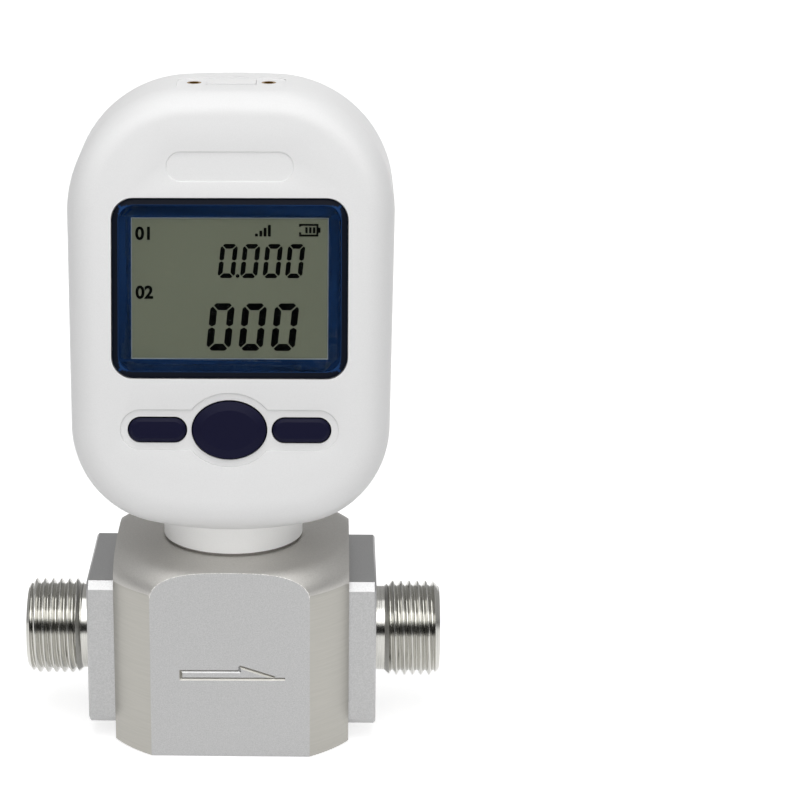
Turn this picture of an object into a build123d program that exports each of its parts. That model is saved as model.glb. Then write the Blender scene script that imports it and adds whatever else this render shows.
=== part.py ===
"""Portable gas flow meter: a square aluminium flow body with two flanged G1/2 ends and a display head.

Millimetres. X is the flow direction, inlet at -X. Y points to the back and Z up.
The origin is the centre of the flow body's underside.
"""

import math
import os

from build123d import *

os.makedirs("parts", exist_ok=True)

# Fits
SLIP = 0.05  # between parts that slide together by hand
LOOSE = 0.1  # round parts that only drop in
KEY_GAP = 0.3  # around a moving button

# Flow body
BODY_W = 50.8
BODY_H = 42.4
TURN_OUT = 5.2
BODY_TURN_R = BODY_W / 2 + TURN_OUT  # the four upright corners are turned to this radius
BODY_TOP_R = 6.0
AXIS_Z = 20.0
BORE_R = 6.0
BORE_EDGE = 0.5  # lead-in at the ends of a bore
EDGE = 0.4

# Flanged ends, G1/2 outside thread
FLANGE_W = 32.9
FLANGE_T = 5.9
FLANGE_CHAMFER = 1.6
SPIGOT_R = 8.9
SPIGOT_L = 2.0
THREAD_R = 10.4775
THREAD_L = 10.9
RELIEF_R = 9.3
RELIEF_L = 3.2
THREAD_CHAMFER = 1.3
SEAL_IN_R = 10.6
SEAL_OUT_R = 12.4
SEAL_T = 1.3
SEAL_EDGE = 0.35

# M3 socket screws of the flanges
M3_R = 1.5
M3_HEAD_R = 2.75
M3_HEAD_H = 3.0
M3_KEY_R = 1.45  # over the corners of the hexagon socket
M3_LENGTH = 8.0
FLANGE_SCREW_AT = 12.0

# Flow straightener stack behind the inlet end
SCREEN_T = 0.4
MESH_PITCH = 1.6
MESH_HOLE = 1.1
MESH_COUNT = 5
STRAIGHTENER_T = 5.0
CELL_R = 1.2
CELL_PITCH = 1.25  # apothem of the cell grid
CELL_COUNT = 9
CELL_FIELD_R = 5.2

# Sensor plug
PLUG_HEAD_R = 9.0
PLUG_HEAD_T = 2.4
PLUG_STEM_R = 5.0
PLUG_RING_R = 4.0
PLUG_RING_T = 1.6
PLUG_RING_Z = 34.0
SENSOR_BOARD_W = 7.0
SENSOR_BOARD_T = 1.0
SENSOR_BOARD_LOW = 14.5
SENSOR_BOARD_TOP = 45.6
CHIP = 2.6
CHIP_T = 0.6
M2_R = 1.0
M2_HEAD_R = 1.75
M2_HEAD_H = 1.2
PLUG_SCREW_AT = 6.7
PLUG_SCREW_L = 6.0

# Neck between the flow body and the head
NECK_R = 15.2
NECK_WALL = 2.0
NECK_FLOOR = 3.0
GASKET_T = 0.5
GASKET_R = 14.8
NECK_SHOULDER_Z = 53.8
NECK_FLANGE_R = 17.4
NECK_FLANGE_T = 2.0
M25_R = 1.25
M25_HEAD_R = 2.25
M25_HEAD_H = 2.0
NECK_SCREW_RING_R = 10.6
NECK_SCREW_L = 8.0
COLLAR_SCREW_AT = 17.4
COLLAR_SCREW_L = 5.0
COLLAR_EAR = 4.6
COLLAR_EARS_W = 38.0

# Head outline, seen from the front: four corner arcs, a crown above and below
HEAD_TOP = 141.8
HEAD_LOW = 49.2
TOP_HALF_W = 34.6
LOW_HALF_W = 33.8
TOP_CORNER_R = 26.0
LOW_CORNER_R = 21.0
TOP_CROWN_R = 211.0
LOW_CROWN_R = 86.0
HEAD_BACK = 20.0
WALL = 2.2
FRONT_R = 7.0
BACK_R = 6.0
INNER_CUT = 2 - math.sqrt(2)  # a cut at 45 degrees that touches the arc it stands for
SPLIT_Y = 12.0  # where the front shell meets the rear shell

# The front face leans back; everything on it is placed from the display's centre
FACE_LEAN = 12.0
FACE_Y = -13.5
FACE_Z = 101.3

# Display
BEZEL_W = 49.4
BEZEL_H = 37.6
BEZEL_R = 4.6
BEZEL_SINK = 0.2
BEZEL_T = 2.0
BEZEL_RIM = 1.3
BEZEL_RIM_H = 0.5
BEZEL_CLEAR = 0.15
LENS_T = 1.0
LENS_SINK = 0.15
SIGHT_IN_W = 4.2
SIGHT_IN_H = 4.15
SIGHT_W = BEZEL_W - 2 * SIGHT_IN_W
SIGHT_H = BEZEL_H - 2 * SIGHT_IN_H
PAD_RIM = 2.4
PAD_T = 1.4
LCD_DEPTH = 1.8  # close behind the window, in a pocket in the bezel's back
LCD_IN_W = 2.2
LCD_IN_H = 1.8
LCD_W = BEZEL_W - 2 * LCD_IN_W
LCD_H = BEZEL_H - 2 * LCD_IN_H
LCD_T = 2.8
LIGHT_T = 3.9
LIGHT_RIM = 0.6
BOARD_DEPTH = LCD_DEPTH + LCD_T + LIGHT_T

# Buttons
KEY_DOWN = 29.7  # below the display's centre, along the face
PILL_AT = 15.15
PILL_W = 12.0
PILL_H = 4.9
OVAL_W = 15.4
OVAL_H = 12.0
DISH_RIM = 1.75
DISH_T = 0.5
PILL_PROUD = 0.4
OVAL_PROUD = 0.7
PILL_BEVEL = 0.7
OVAL_BEVEL = 1.8
KEY_BEVEL_H = 0.5
KEY_FLANGE = 0.55
KEY_FLANGE_T = 0.9
KEY_TRAVEL = 0.5
KEY_STEM_R = 1.8

# Bare name recess
NAME_UP = 25.45
NAME_W = 26.5
NAME_H = 6.1
NAME_T = 0.4

# Main board, right behind the backlight
BOARD_T = 1.6
BOARD_W = 40.0
BOARD_TOP = 22.0
BOARD_LOW = -37.0
POST_R = 1.9
POST_AT = 17.5
POST_UP = 19.7
POST_DOWN = -35.0
BOARD_SCREW_L = 5.0
CONTROLLER_W = 10.0
CONTROLLER_T = 1.2
CONTROLLER_AT = -15.0
PLUG_BLOCK_W = 9.0
PLUG_BLOCK_H = 4.0
PLUG_BLOCK_T = 2.2
PLUG_BLOCK_AT = -30.0
SWITCH_W = 6.0
SWITCH_H = 2.0
SWITCH_PIN_H = 0.6
SWITCH_PIN_R = 1.6
KEY_FLANGE_DEPTH = WALL + KEY_GAP
KEY_STEM_END = BOARD_DEPTH - SWITCH_H - SWITCH_PIN_H - KEY_TRAVEL - LOOSE

# Data port in the top
PORT_Y = 6.0
PORT_BACK_Y = 9.7
PORT_W = 23.0
PORT_T = 0.6
PORT_R = 2.0
PORT_PAD_T = 3.2
INSERT_AT = 7.9
INSERT_R = 1.55
INSERT_L = 4.0
SOCKET_W = 9.6
SOCKET_D = 4.4
SOCKET_H = 9.0
SOCKET_WALL = 0.6
SOCKET_EAR_W = 16.0
SOCKET_EAR_D = 8.0
SOCKET_EAR_T = 1.2
CAP_W = 10.4
CAP_D = 5.0
CAP_T = 1.2
CAP_PROUD = 0.3
CAP_STEM_L = 3.6

# Shell screws
BOSS_AT = 24.0
BOSS_HIGH_Z = 124.0
BOSS_LOW_Z = 68.0
BOSS_R = 3.0
SHELL_HEAD_DEEP = 2.1
BLIND_END = 0.4  # left below a screw in a blind hole
SHELL_SCREW_L = 12.0
SEAL_W = 0.8
SEAL_DEEP = 0.8

# Battery at the back
CELL_W = 34.0
CELL_H = 52.0
CELL_T = 8.4
CELL_ROUND = 3.0
WELL_GAP = 0.5
WELL_WALL = 1.4
CELL_LOW_Z = 62.0
BATTERY_Z = CELL_LOW_Z + CELL_H / 2
DOOR_LAND_W = 2.5
DOOR_LAND_H = 4.5
DOOR_W = CELL_W + 2 * DOOR_LAND_W
DOOR_H = CELL_H + 2 * DOOR_LAND_H
DOOR_T = 1.6
DOOR_R = 3.0
DOOR_SCREW_IN = 1.9
DOOR_SCREW_AT = DOOR_H / 2 - DOOR_SCREW_IN
DOOR_PAD_T = 5.0
DOOR_SCREW_L = 4.5

# Wireless parts
RADIO_W = 12.0
RADIO_T = 2.0
RADIO_UP = 8.0
AERIAL_W = 26.0
AERIAL_H = 7.0
AERIAL_T = 0.4
AERIAL_GAP = 1.6
AERIAL_Z = BATTERY_Z + DOOR_H / 2 + AERIAL_GAP + AERIAL_H / 2

# Ribbon cable
RIBBON_W = 6.0
RIBBON_T = 0.6

FACE = Plane(
    origin=(0, FACE_Y, FACE_Z),
    x_dir=(1, 0, 0),
    z_dir=(0, -math.cos(math.radians(FACE_LEAN)), math.sin(math.radians(FACE_LEAN))),
)
OUTWARD = Axis(FACE.origin, FACE.z_dir)


def upright(y: float) -> Plane:
    """The XZ plane at depth y, looking from the front."""
    return Plane.XZ.offset(-y)


def behind_face(depth: float) -> Plane:
    """The front face's plane, moved into the head."""
    return FACE.offset(-depth)


def head_outline(inset: float) -> Sketch:
    """The head seen from the front, shrunk all round by inset."""
    top_r = TOP_CORNER_R - inset
    low_r = LOW_CORNER_R - inset
    top_x = TOP_HALF_W - TOP_CORNER_R
    low_x = LOW_HALF_W - LOW_CORNER_R
    top_reach = TOP_CROWN_R - TOP_CORNER_R
    low_reach = LOW_CROWN_R - LOW_CORNER_R
    top_crown_z = HEAD_TOP - TOP_CROWN_R
    low_crown_z = HEAD_LOW + LOW_CROWN_R
    top_z = top_crown_z + math.sqrt(top_reach**2 - top_x**2)
    low_z = low_crown_z - math.sqrt(low_reach**2 - low_x**2)
    top_turn = math.degrees(math.asin(top_x / top_reach))
    low_turn = math.degrees(math.asin(low_x / low_reach))
    # the side line touches both corner arcs
    run = math.hypot(top_x - low_x, top_z - low_z)
    lean = math.degrees(math.atan2(top_x - low_x, top_z - low_z))
    side = math.degrees(math.asin((LOW_CORNER_R - TOP_CORNER_R) / run)) - lean
    with BuildSketch() as outline:
        with BuildLine():
            CenterArc((0, low_crown_z), LOW_CROWN_R - inset, 270, low_turn)
            low = CenterArc((low_x, low_z), low_r, low_turn - 90, side + 90 - low_turn)
            high = CenterArc((top_x, top_z), top_r, side, 90 - top_turn - side)
            Line(low @ 1, high @ 0)
            CenterArc((0, top_crown_z), TOP_CROWN_R - inset, 90 - top_turn, top_turn)
            mirror(about=Plane.YZ)
        make_face()
    return outline.sketch


def head_block(inset: float) -> Part:
    """The head with sharp front and back edges, shrunk all round by inset."""
    with BuildPart() as block:
        with BuildSketch(upright(HEAD_BACK - inset)):
            add(head_outline(inset))
        extrude(amount=HEAD_BACK - FACE_Y + BODY_W / 2)
        split(bisect_by=behind_face(inset), keep=Keep.BOTTOM)
    return block.part


def rim_band(near: float, far: float) -> Sketch:
    """A band that follows the head's outline between two insets."""
    with BuildSketch() as band:
        add(head_outline(near))
        add(head_outline(far), mode=Mode.SUBTRACT)
    return band.sketch


def key_dish() -> Sketch:
    """The shallow recess around the three buttons."""
    with BuildSketch() as dish:
        SlotOverall(2 * PILL_AT + PILL_W + 2 * DISH_RIM, PILL_H + 2 * DISH_RIM)
        Ellipse(OVAL_W / 2 + DISH_RIM, OVAL_H / 2 + DISH_RIM)
    return dish.sketch


def pill(grow: float) -> Sketch:
    """Outline of a side button, grown all round."""
    with BuildSketch() as outline:
        SlotOverall(PILL_W + 2 * grow, PILL_H + 2 * grow)
    return outline.sketch


def oval(grow: float) -> Sketch:
    """Outline of the middle button, grown all round."""
    with BuildSketch() as outline:
        Ellipse(OVAL_W / 2 + grow, OVAL_H / 2 + grow)
    return outline.sketch


def button(outline, across: float, proud: float, bevel: float) -> Part:
    """One button at the given place across the face."""
    spot = (across, -KEY_DOWN)
    with BuildPart() as key:
        with BuildSketch(behind_face(-proud)):
            with Locations(spot):
                add(outline(0))
        extrude(amount=-proud - KEY_FLANGE_DEPTH)
        front = key.faces().sort_by(OUTWARD)[-1]
        chamfer(front.edges(), length=bevel, length2=KEY_BEVEL_H, reference=front)
        with BuildSketch(behind_face(KEY_FLANGE_DEPTH)):
            with Locations(spot):
                add(outline(KEY_FLANGE))
        extrude(amount=-KEY_FLANGE_T)
        with BuildSketch(behind_face(KEY_FLANGE_DEPTH + KEY_FLANGE_T)):
            with Locations(spot):
                Circle(KEY_STEM_R)
        extrude(amount=KEY_FLANGE_DEPTH + KEY_FLANGE_T - KEY_STEM_END)
    return key.part


flange_screw_spots = [
    (side * FLANGE_SCREW_AT, AXIS_Z + rise * FLANGE_SCREW_AT)
    for side in (-1, 1)
    for rise in (-1, 1)
]
neck_screw_spots = PolarLocations(NECK_SCREW_RING_R, 4, start_angle=45)
boss_spots = [
    (side * BOSS_AT, height) for side in (-1, 1) for height in (BOSS_LOW_Z, BOSS_HIGH_Z)
]
body_face = Plane.YZ.offset(BODY_W / 2)
stack_depth = SPIGOT_L + 2 * SCREEN_T + STRAIGHTENER_T

# Square flow body
with BuildPart() as flow_body:
    with BuildSketch():
        Rectangle(BODY_W, BODY_W)
    extrude(amount=BODY_H)
    with BuildSketch(Plane.XZ) as turned:
        with BuildLine():
            Line((0, 0), (BODY_TURN_R, 0))
            Line((BODY_TURN_R, 0), (BODY_TURN_R, BODY_H - BODY_TOP_R))
            RadiusArc(
                (BODY_TURN_R, BODY_H - BODY_TOP_R), (BODY_TURN_R - BODY_TOP_R, BODY_H), -BODY_TOP_R
            )
            Polyline((BODY_TURN_R - BODY_TOP_R, BODY_H), (0, BODY_H), (0, 0))
        make_face()
    revolve(axis=Axis.Z, mode=Mode.INTERSECT)
    chamfer(flow_body.faces().sort_by(Axis.Z)[0].edges(), EDGE)
    # straight-through bore, with a wider seat for each end
    with BuildSketch(body_face):
        with Locations((0, AXIS_Z)):
            Circle(BORE_R)
    extrude(amount=-BODY_W, mode=Mode.SUBTRACT)
    with BuildSketch(body_face):
        with Locations((0, AXIS_Z)):
            Circle(SPIGOT_R + LOOSE)
    extrude(amount=-SPIGOT_L - LOOSE, mode=Mode.SUBTRACT)
    with BuildSketch(Plane.YZ.offset(-BODY_W / 2)):
        with Locations((0, AXIS_Z)):
            Circle(SPIGOT_R + LOOSE)
    extrude(amount=stack_depth, mode=Mode.SUBTRACT)
    rings = flow_body.edges().filter_by(GeomType.CIRCLE)
    rings = rings.filter_by_position(Axis.Z, AXIS_Z - BORE_R, AXIS_Z + BORE_R)
    chamfer(rings.group_by(SortBy.RADIUS)[0].sort_by(Axis.X)[-1], BORE_EDGE)
    # tapped holes for the flange screws
    for face, inward in ((body_face, -1), (Plane.YZ.offset(-BODY_W / 2), 1)):
        with BuildSketch(face):
            with Locations(*flange_screw_spots):
                Circle(M3_R + SLIP)
        extrude(amount=inward * M3_LENGTH, mode=Mode.SUBTRACT)
    # sensor pocket, down into the bore
    with BuildSketch(Plane.XY.offset(BODY_H)):
        Circle(PLUG_STEM_R + SLIP)
    extrude(amount=AXIS_Z - BODY_H, mode=Mode.SUBTRACT)
    with BuildSketch(Plane.XY.offset(BODY_H)):
        Circle(PLUG_HEAD_R + LOOSE)
    extrude(amount=-PLUG_HEAD_T, mode=Mode.SUBTRACT)
    with BuildSketch(Plane.XY.offset(BODY_H - PLUG_HEAD_T)):
        with GridLocations(2 * PLUG_SCREW_AT, 1, 2, 1):
            Circle(M2_R + SLIP)
    extrude(amount=-PLUG_SCREW_L, mode=Mode.SUBTRACT)
    with BuildSketch(Plane.XY.offset(BODY_H)):
        with neck_screw_spots:
            Circle(M25_R + SLIP)
    extrude(amount=-NECK_SCREW_L, mode=Mode.SUBTRACT)

# Flanged ends: one piece each, flange and threaded nipple
with BuildPart() as outlet_fitting:
    with BuildSketch(body_face):
        with Locations((0, AXIS_Z)):
            Rectangle(FLANGE_W, FLANGE_W)
    extrude(amount=FLANGE_T)
    chamfer(outlet_fitting.edges().filter_by(Axis.X), FLANGE_CHAMFER)
    chamfer(outlet_fitting.faces().sort_by(Axis.X)[-1].edges(), EDGE)
    with BuildSketch(Plane.XZ):
        with BuildLine():
            x0 = BODY_W / 2 + FLANGE_T
            x1 = x0 + RELIEF_L
            x2 = x1 + THREAD_L
            undercut = THREAD_R - RELIEF_R
            Polyline(
                (BODY_W / 2 - SPIGOT_L, AXIS_Z),
                (BODY_W / 2 - SPIGOT_L, AXIS_Z + SPIGOT_R),
                (x0, AXIS_Z + SPIGOT_R),
                (x0, AXIS_Z + RELIEF_R),
                (x1 - undercut, AXIS_Z + RELIEF_R),
                (x1, AXIS_Z + THREAD_R),
                (x2 - THREAD_CHAMFER, AXIS_Z + THREAD_R),
                (x2, AXIS_Z + THREAD_R - THREAD_CHAMFER),
                (x2, AXIS_Z),
                close=True,
            )
        make_face()
    revolve(axis=Axis((0, 0, AXIS_Z), (1, 0, 0)))
    with BuildSketch(Plane.XZ):
        with BuildLine():
            spigot_end = BODY_W / 2 - SPIGOT_L
            Polyline(
                (spigot_end, AXIS_Z),
                (spigot_end, AXIS_Z + BORE_R + BORE_EDGE),
                (spigot_end + BORE_EDGE, AXIS_Z + BORE_R),
                (x2 - BORE_EDGE, AXIS_Z + BORE_R),
                (x2, AXIS_Z + BORE_R + BORE_EDGE),
                (x2, AXIS_Z),
                close=True,
            )
        make_face()
    revolve(axis=Axis((0, 0, AXIS_Z), (1, 0, 0)), mode=Mode.SUBTRACT)
    # face seal groove
    with BuildSketch(body_face):
        with Locations((0, AXIS_Z)):
            Circle(SEAL_OUT_R)
            Circle(SEAL_IN_R, mode=Mode.SUBTRACT)
    extrude(amount=SEAL_T, mode=Mode.SUBTRACT)
    for radius, depth in ((M3_R + LOOSE, FLANGE_T), (M3_HEAD_R + 2 * LOOSE, M3_HEAD_H)):
        with BuildSketch(Plane.YZ.offset(x0)):
            with Locations(*flange_screw_spots):
                Circle(radius)
        extrude(amount=-depth, mode=Mode.SUBTRACT)

with BuildPart() as inlet_fitting:
    mirror(outlet_fitting.part, about=Plane.YZ)

# Seals of both ends, drawn as squeezed in their grooves
with BuildPart() as fitting_o_rings:
    with BuildSketch(Plane.XZ) as squeezed:
        with Locations((BODY_W / 2 + SEAL_T / 2, AXIS_Z + (SEAL_IN_R + SEAL_OUT_R) / 2)):
            Rectangle(SEAL_T, SEAL_OUT_R - SEAL_IN_R - SLIP)
        chamfer(squeezed.vertices(), SEAL_EDGE)
    revolve(axis=Axis((0, 0, AXIS_Z), (1, 0, 0)))
    mirror(about=Plane.YZ)

with BuildPart() as fitting_screws:
    head_top = BODY_W / 2 + FLANGE_T
    with BuildSketch(Plane.YZ.offset(head_top)):
        with Locations(*flange_screw_spots):
            Circle(M3_HEAD_R)
    extrude(amount=-M3_HEAD_H)
    with BuildSketch(Plane.YZ.offset(head_top - M3_HEAD_H)):
        with Locations(*flange_screw_spots):
            Circle(M3_R)
    extrude(amount=-M3_LENGTH)
    with BuildSketch(Plane.YZ.offset(head_top)):
        with Locations(*flange_screw_spots):
            RegularPolygon(M3_KEY_R, 6)
    extrude(amount=-M3_HEAD_H / 2, mode=Mode.SUBTRACT)
    mirror(about=Plane.YZ)

# Honeycomb between two screens
cells = [
    spot.position
    for spot in HexLocations(CELL_PITCH, CELL_COUNT, CELL_COUNT).locations
    if spot.position.length < CELL_FIELD_R
]
with BuildPart() as flow_straightener:
    with BuildSketch(Plane.YZ.offset(SPIGOT_L + SCREEN_T - BODY_W / 2)):
        with Locations((0, AXIS_Z)):
            Circle(SPIGOT_R)
            with Locations(*cells):
                RegularPolygon(CELL_R, 6, mode=Mode.SUBTRACT)
    extrude(amount=STRAIGHTENER_T)

with BuildPart() as flow_screens:
    for start in (SPIGOT_L, SPIGOT_L + SCREEN_T + STRAIGHTENER_T):
        with BuildSketch(Plane.YZ.offset(start - BODY_W / 2)):
            with Locations((0, AXIS_Z)):
                Circle(SPIGOT_R)
                with GridLocations(MESH_PITCH, MESH_PITCH, MESH_COUNT, MESH_COUNT):
                    Rectangle(MESH_HOLE, MESH_HOLE, mode=Mode.SUBTRACT)
        extrude(amount=SCREEN_T)

# Sensor plug: head, stem, ring groove and a slot that holds the small board
with BuildPart() as sensor_carrier:
    with BuildSketch(Plane.XY.offset(BODY_H - PLUG_HEAD_T)):
        Circle(PLUG_HEAD_R)
    extrude(amount=PLUG_HEAD_T)
    with BuildSketch(Plane.XY.offset(AXIS_Z + BORE_R)):
        Circle(PLUG_STEM_R)
    extrude(until=Until.NEXT)
    with BuildSketch(Plane.XY.offset(PLUG_RING_Z)):
        Circle(PLUG_STEM_R)
        Circle(PLUG_RING_R, mode=Mode.SUBTRACT)
    extrude(amount=PLUG_RING_T, mode=Mode.SUBTRACT)
    with BuildSketch(Plane.XY.offset(AXIS_Z)):
        Rectangle(SENSOR_BOARD_W, SENSOR_BOARD_T)
    extrude(amount=BODY_H, mode=Mode.SUBTRACT)
    with Locations(Plane.XY.offset(BODY_H)):
        with GridLocations(2 * PLUG_SCREW_AT, 1, 2, 1):
            CounterBoreHole(M2_R + LOOSE, M2_HEAD_R + LOOSE, M2_HEAD_H, PLUG_HEAD_T)

with BuildPart() as carrier_o_ring:
    with BuildSketch(Plane.XZ) as squeezed:
        with Locations(((PLUG_RING_R + PLUG_STEM_R) / 2, PLUG_RING_Z + PLUG_RING_T / 2)):
            Rectangle(PLUG_STEM_R - PLUG_RING_R, PLUG_RING_T)
        chamfer(squeezed.vertices(), SEAL_EDGE)
    revolve(axis=Axis.Z)

with BuildPart() as carrier_screws:
    with BuildSketch(Plane.XY.offset(BODY_H)):
        with GridLocations(2 * PLUG_SCREW_AT, 1, 2, 1):
            Circle(M2_HEAD_R)
    extrude(amount=-M2_HEAD_H)
    with BuildSketch(Plane.XY.offset(BODY_H - M2_HEAD_H)):
        with GridLocations(2 * PLUG_SCREW_AT, 1, 2, 1):
            Circle(M2_R)
    extrude(amount=-PLUG_SCREW_L)

with BuildPart() as sensor_board:
    with BuildSketch(Plane.XY.offset(SENSOR_BOARD_LOW)):
        Rectangle(SENSOR_BOARD_W, SENSOR_BOARD_T)
    extrude(amount=SENSOR_BOARD_TOP - SENSOR_BOARD_LOW)

with BuildPart() as sensor_chip:
    with BuildSketch(upright(-SENSOR_BOARD_T / 2)):
        with Locations((0, AXIS_Z)):
            Rectangle(CHIP, CHIP)
    extrude(amount=CHIP_T)

# Neck, its gasket and its screws
neck_foot = BODY_H + GASKET_T
with BuildPart() as neck_gasket:
    with BuildSketch(Plane.XY.offset(BODY_H)):
        Circle(GASKET_R)
        Circle(PLUG_HEAD_R + LOOSE, mode=Mode.SUBTRACT)
        with neck_screw_spots:
            Circle(M25_R + LOOSE, mode=Mode.SUBTRACT)
    extrude(amount=GASKET_T)

with BuildPart() as neck_post:
    with BuildSketch(Plane.XY.offset(neck_foot)):
        Circle(NECK_R)
    extrude(amount=NECK_SHOULDER_Z - neck_foot)
    with BuildSketch(Plane.XY.offset(NECK_SHOULDER_Z)):
        Circle(NECK_FLANGE_R)
        SlotOverall(COLLAR_EARS_W, COLLAR_EAR)
    extrude(amount=NECK_FLANGE_T)
    with BuildSketch(Plane.XY.offset(NECK_SHOULDER_Z + NECK_FLANGE_T)):
        Circle(NECK_R - NECK_WALL)
    extrude(amount=neck_foot + NECK_FLOOR - NECK_SHOULDER_Z - NECK_FLANGE_T, mode=Mode.SUBTRACT)
    with BuildSketch(Plane.XY.offset(neck_foot)):
        Circle(PLUG_STEM_R)
        with neck_screw_spots:
            Circle(M25_R + LOOSE)
    extrude(amount=NECK_FLOOR, mode=Mode.SUBTRACT)
    with BuildSketch(Plane.XY.offset(NECK_SHOULDER_Z)):
        with GridLocations(2 * COLLAR_SCREW_AT, 1, 2, 1):
            Circle(M2_R + LOOSE)
    extrude(amount=NECK_FLANGE_T, mode=Mode.SUBTRACT)

with BuildPart() as neck_screws:
    with BuildSketch(Plane.XY.offset(neck_foot + NECK_FLOOR)):
        with neck_screw_spots:
            Circle(M25_HEAD_R)
    extrude(amount=M25_HEAD_H)
    with BuildSketch(Plane.XY.offset(neck_foot + NECK_FLOOR)):
        with neck_screw_spots:
            Circle(M25_R)
    extrude(amount=-NECK_SCREW_L)

with BuildPart() as collar_screws:
    collar_top = NECK_SHOULDER_Z + NECK_FLANGE_T
    with BuildSketch(Plane.XY.offset(collar_top)):
        with GridLocations(2 * COLLAR_SCREW_AT, 1, 2, 1):
            Circle(M2_HEAD_R)
    extrude(amount=M2_HEAD_H)
    with BuildSketch(Plane.XY.offset(collar_top)):
        with GridLocations(2 * COLLAR_SCREW_AT, 1, 2, 1):
            Circle(M2_R)
    extrude(amount=-COLLAR_SCREW_L)

# The head as a solid and its hollow; both shells are cut from them
with BuildPart() as head_outer:
    add(head_block(0))
    fillet(head_outer.faces().sort_by(Axis.Y)[0].edges(), FRONT_R)
    fillet(head_outer.faces().sort_by(Axis.Y)[-1].edges(), BACK_R)

# its cut corners keep the wall even behind the rounded edges
with BuildPart() as head_inner:
    add(head_block(WALL))
    chamfer(head_inner.faces().sort_by(Axis.Y)[0].edges(), INNER_CUT * (FRONT_R - WALL))
    chamfer(head_inner.faces().sort_by(Axis.Y)[-1].edges(), INNER_CUT * (BACK_R - WALL))

shell_screw_end = HEAD_BACK - SHELL_HEAD_DEEP - SHELL_SCREW_L
port_floor = HEAD_TOP - PORT_T
port_pad = HEAD_TOP - WALL - PORT_PAD_T
well_floor = DOOR_T + WELL_GAP + CELL_T
post_spots = [
    (side * POST_AT, height) for side in (-1, 1) for height in (POST_DOWN, POST_UP)
]
insert_spots = [(-INSERT_AT, PORT_Y), (INSERT_AT, PORT_Y)]
door_screw_spots = [(0, BATTERY_Z - DOOR_SCREW_AT), (0, BATTERY_Z + DOOR_SCREW_AT)]

# Seats inside the front shell: neck ring, display pad, port pad, screw bosses, board posts
with BuildPart() as front_seats:
    with BuildSketch(Plane.XY.offset(HEAD_LOW)):
        Circle(NECK_FLANGE_R + WALL)
    extrude(amount=NECK_SHOULDER_Z - HEAD_LOW)
    with BuildSketch(behind_face(WALL)):
        RectangleRounded(BEZEL_W + 2 * PAD_RIM, BEZEL_H + 2 * PAD_RIM, BEZEL_R)
    extrude(amount=-PAD_T)
    with BuildSketch(behind_face(WALL)):
        with Locations(*post_spots):
            Circle(POST_R)
    extrude(amount=WALL - BOARD_DEPTH)
    with BuildSketch(Plane.XY.offset(HEAD_TOP)):
        with Locations((0, PORT_BACK_Y - PORT_W / 4)):
            Rectangle(PORT_W, PORT_W / 2)
    extrude(amount=-WALL - PORT_PAD_T)
    with BuildSketch(upright(SPLIT_Y)):
        with Locations(*boss_spots):
            Circle(BOSS_R)
    extrude(amount=BODY_W)
    add(head_outer.part, mode=Mode.INTERSECT)
    split(bisect_by=upright(SPLIT_Y), keep=Keep.TOP)

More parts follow.
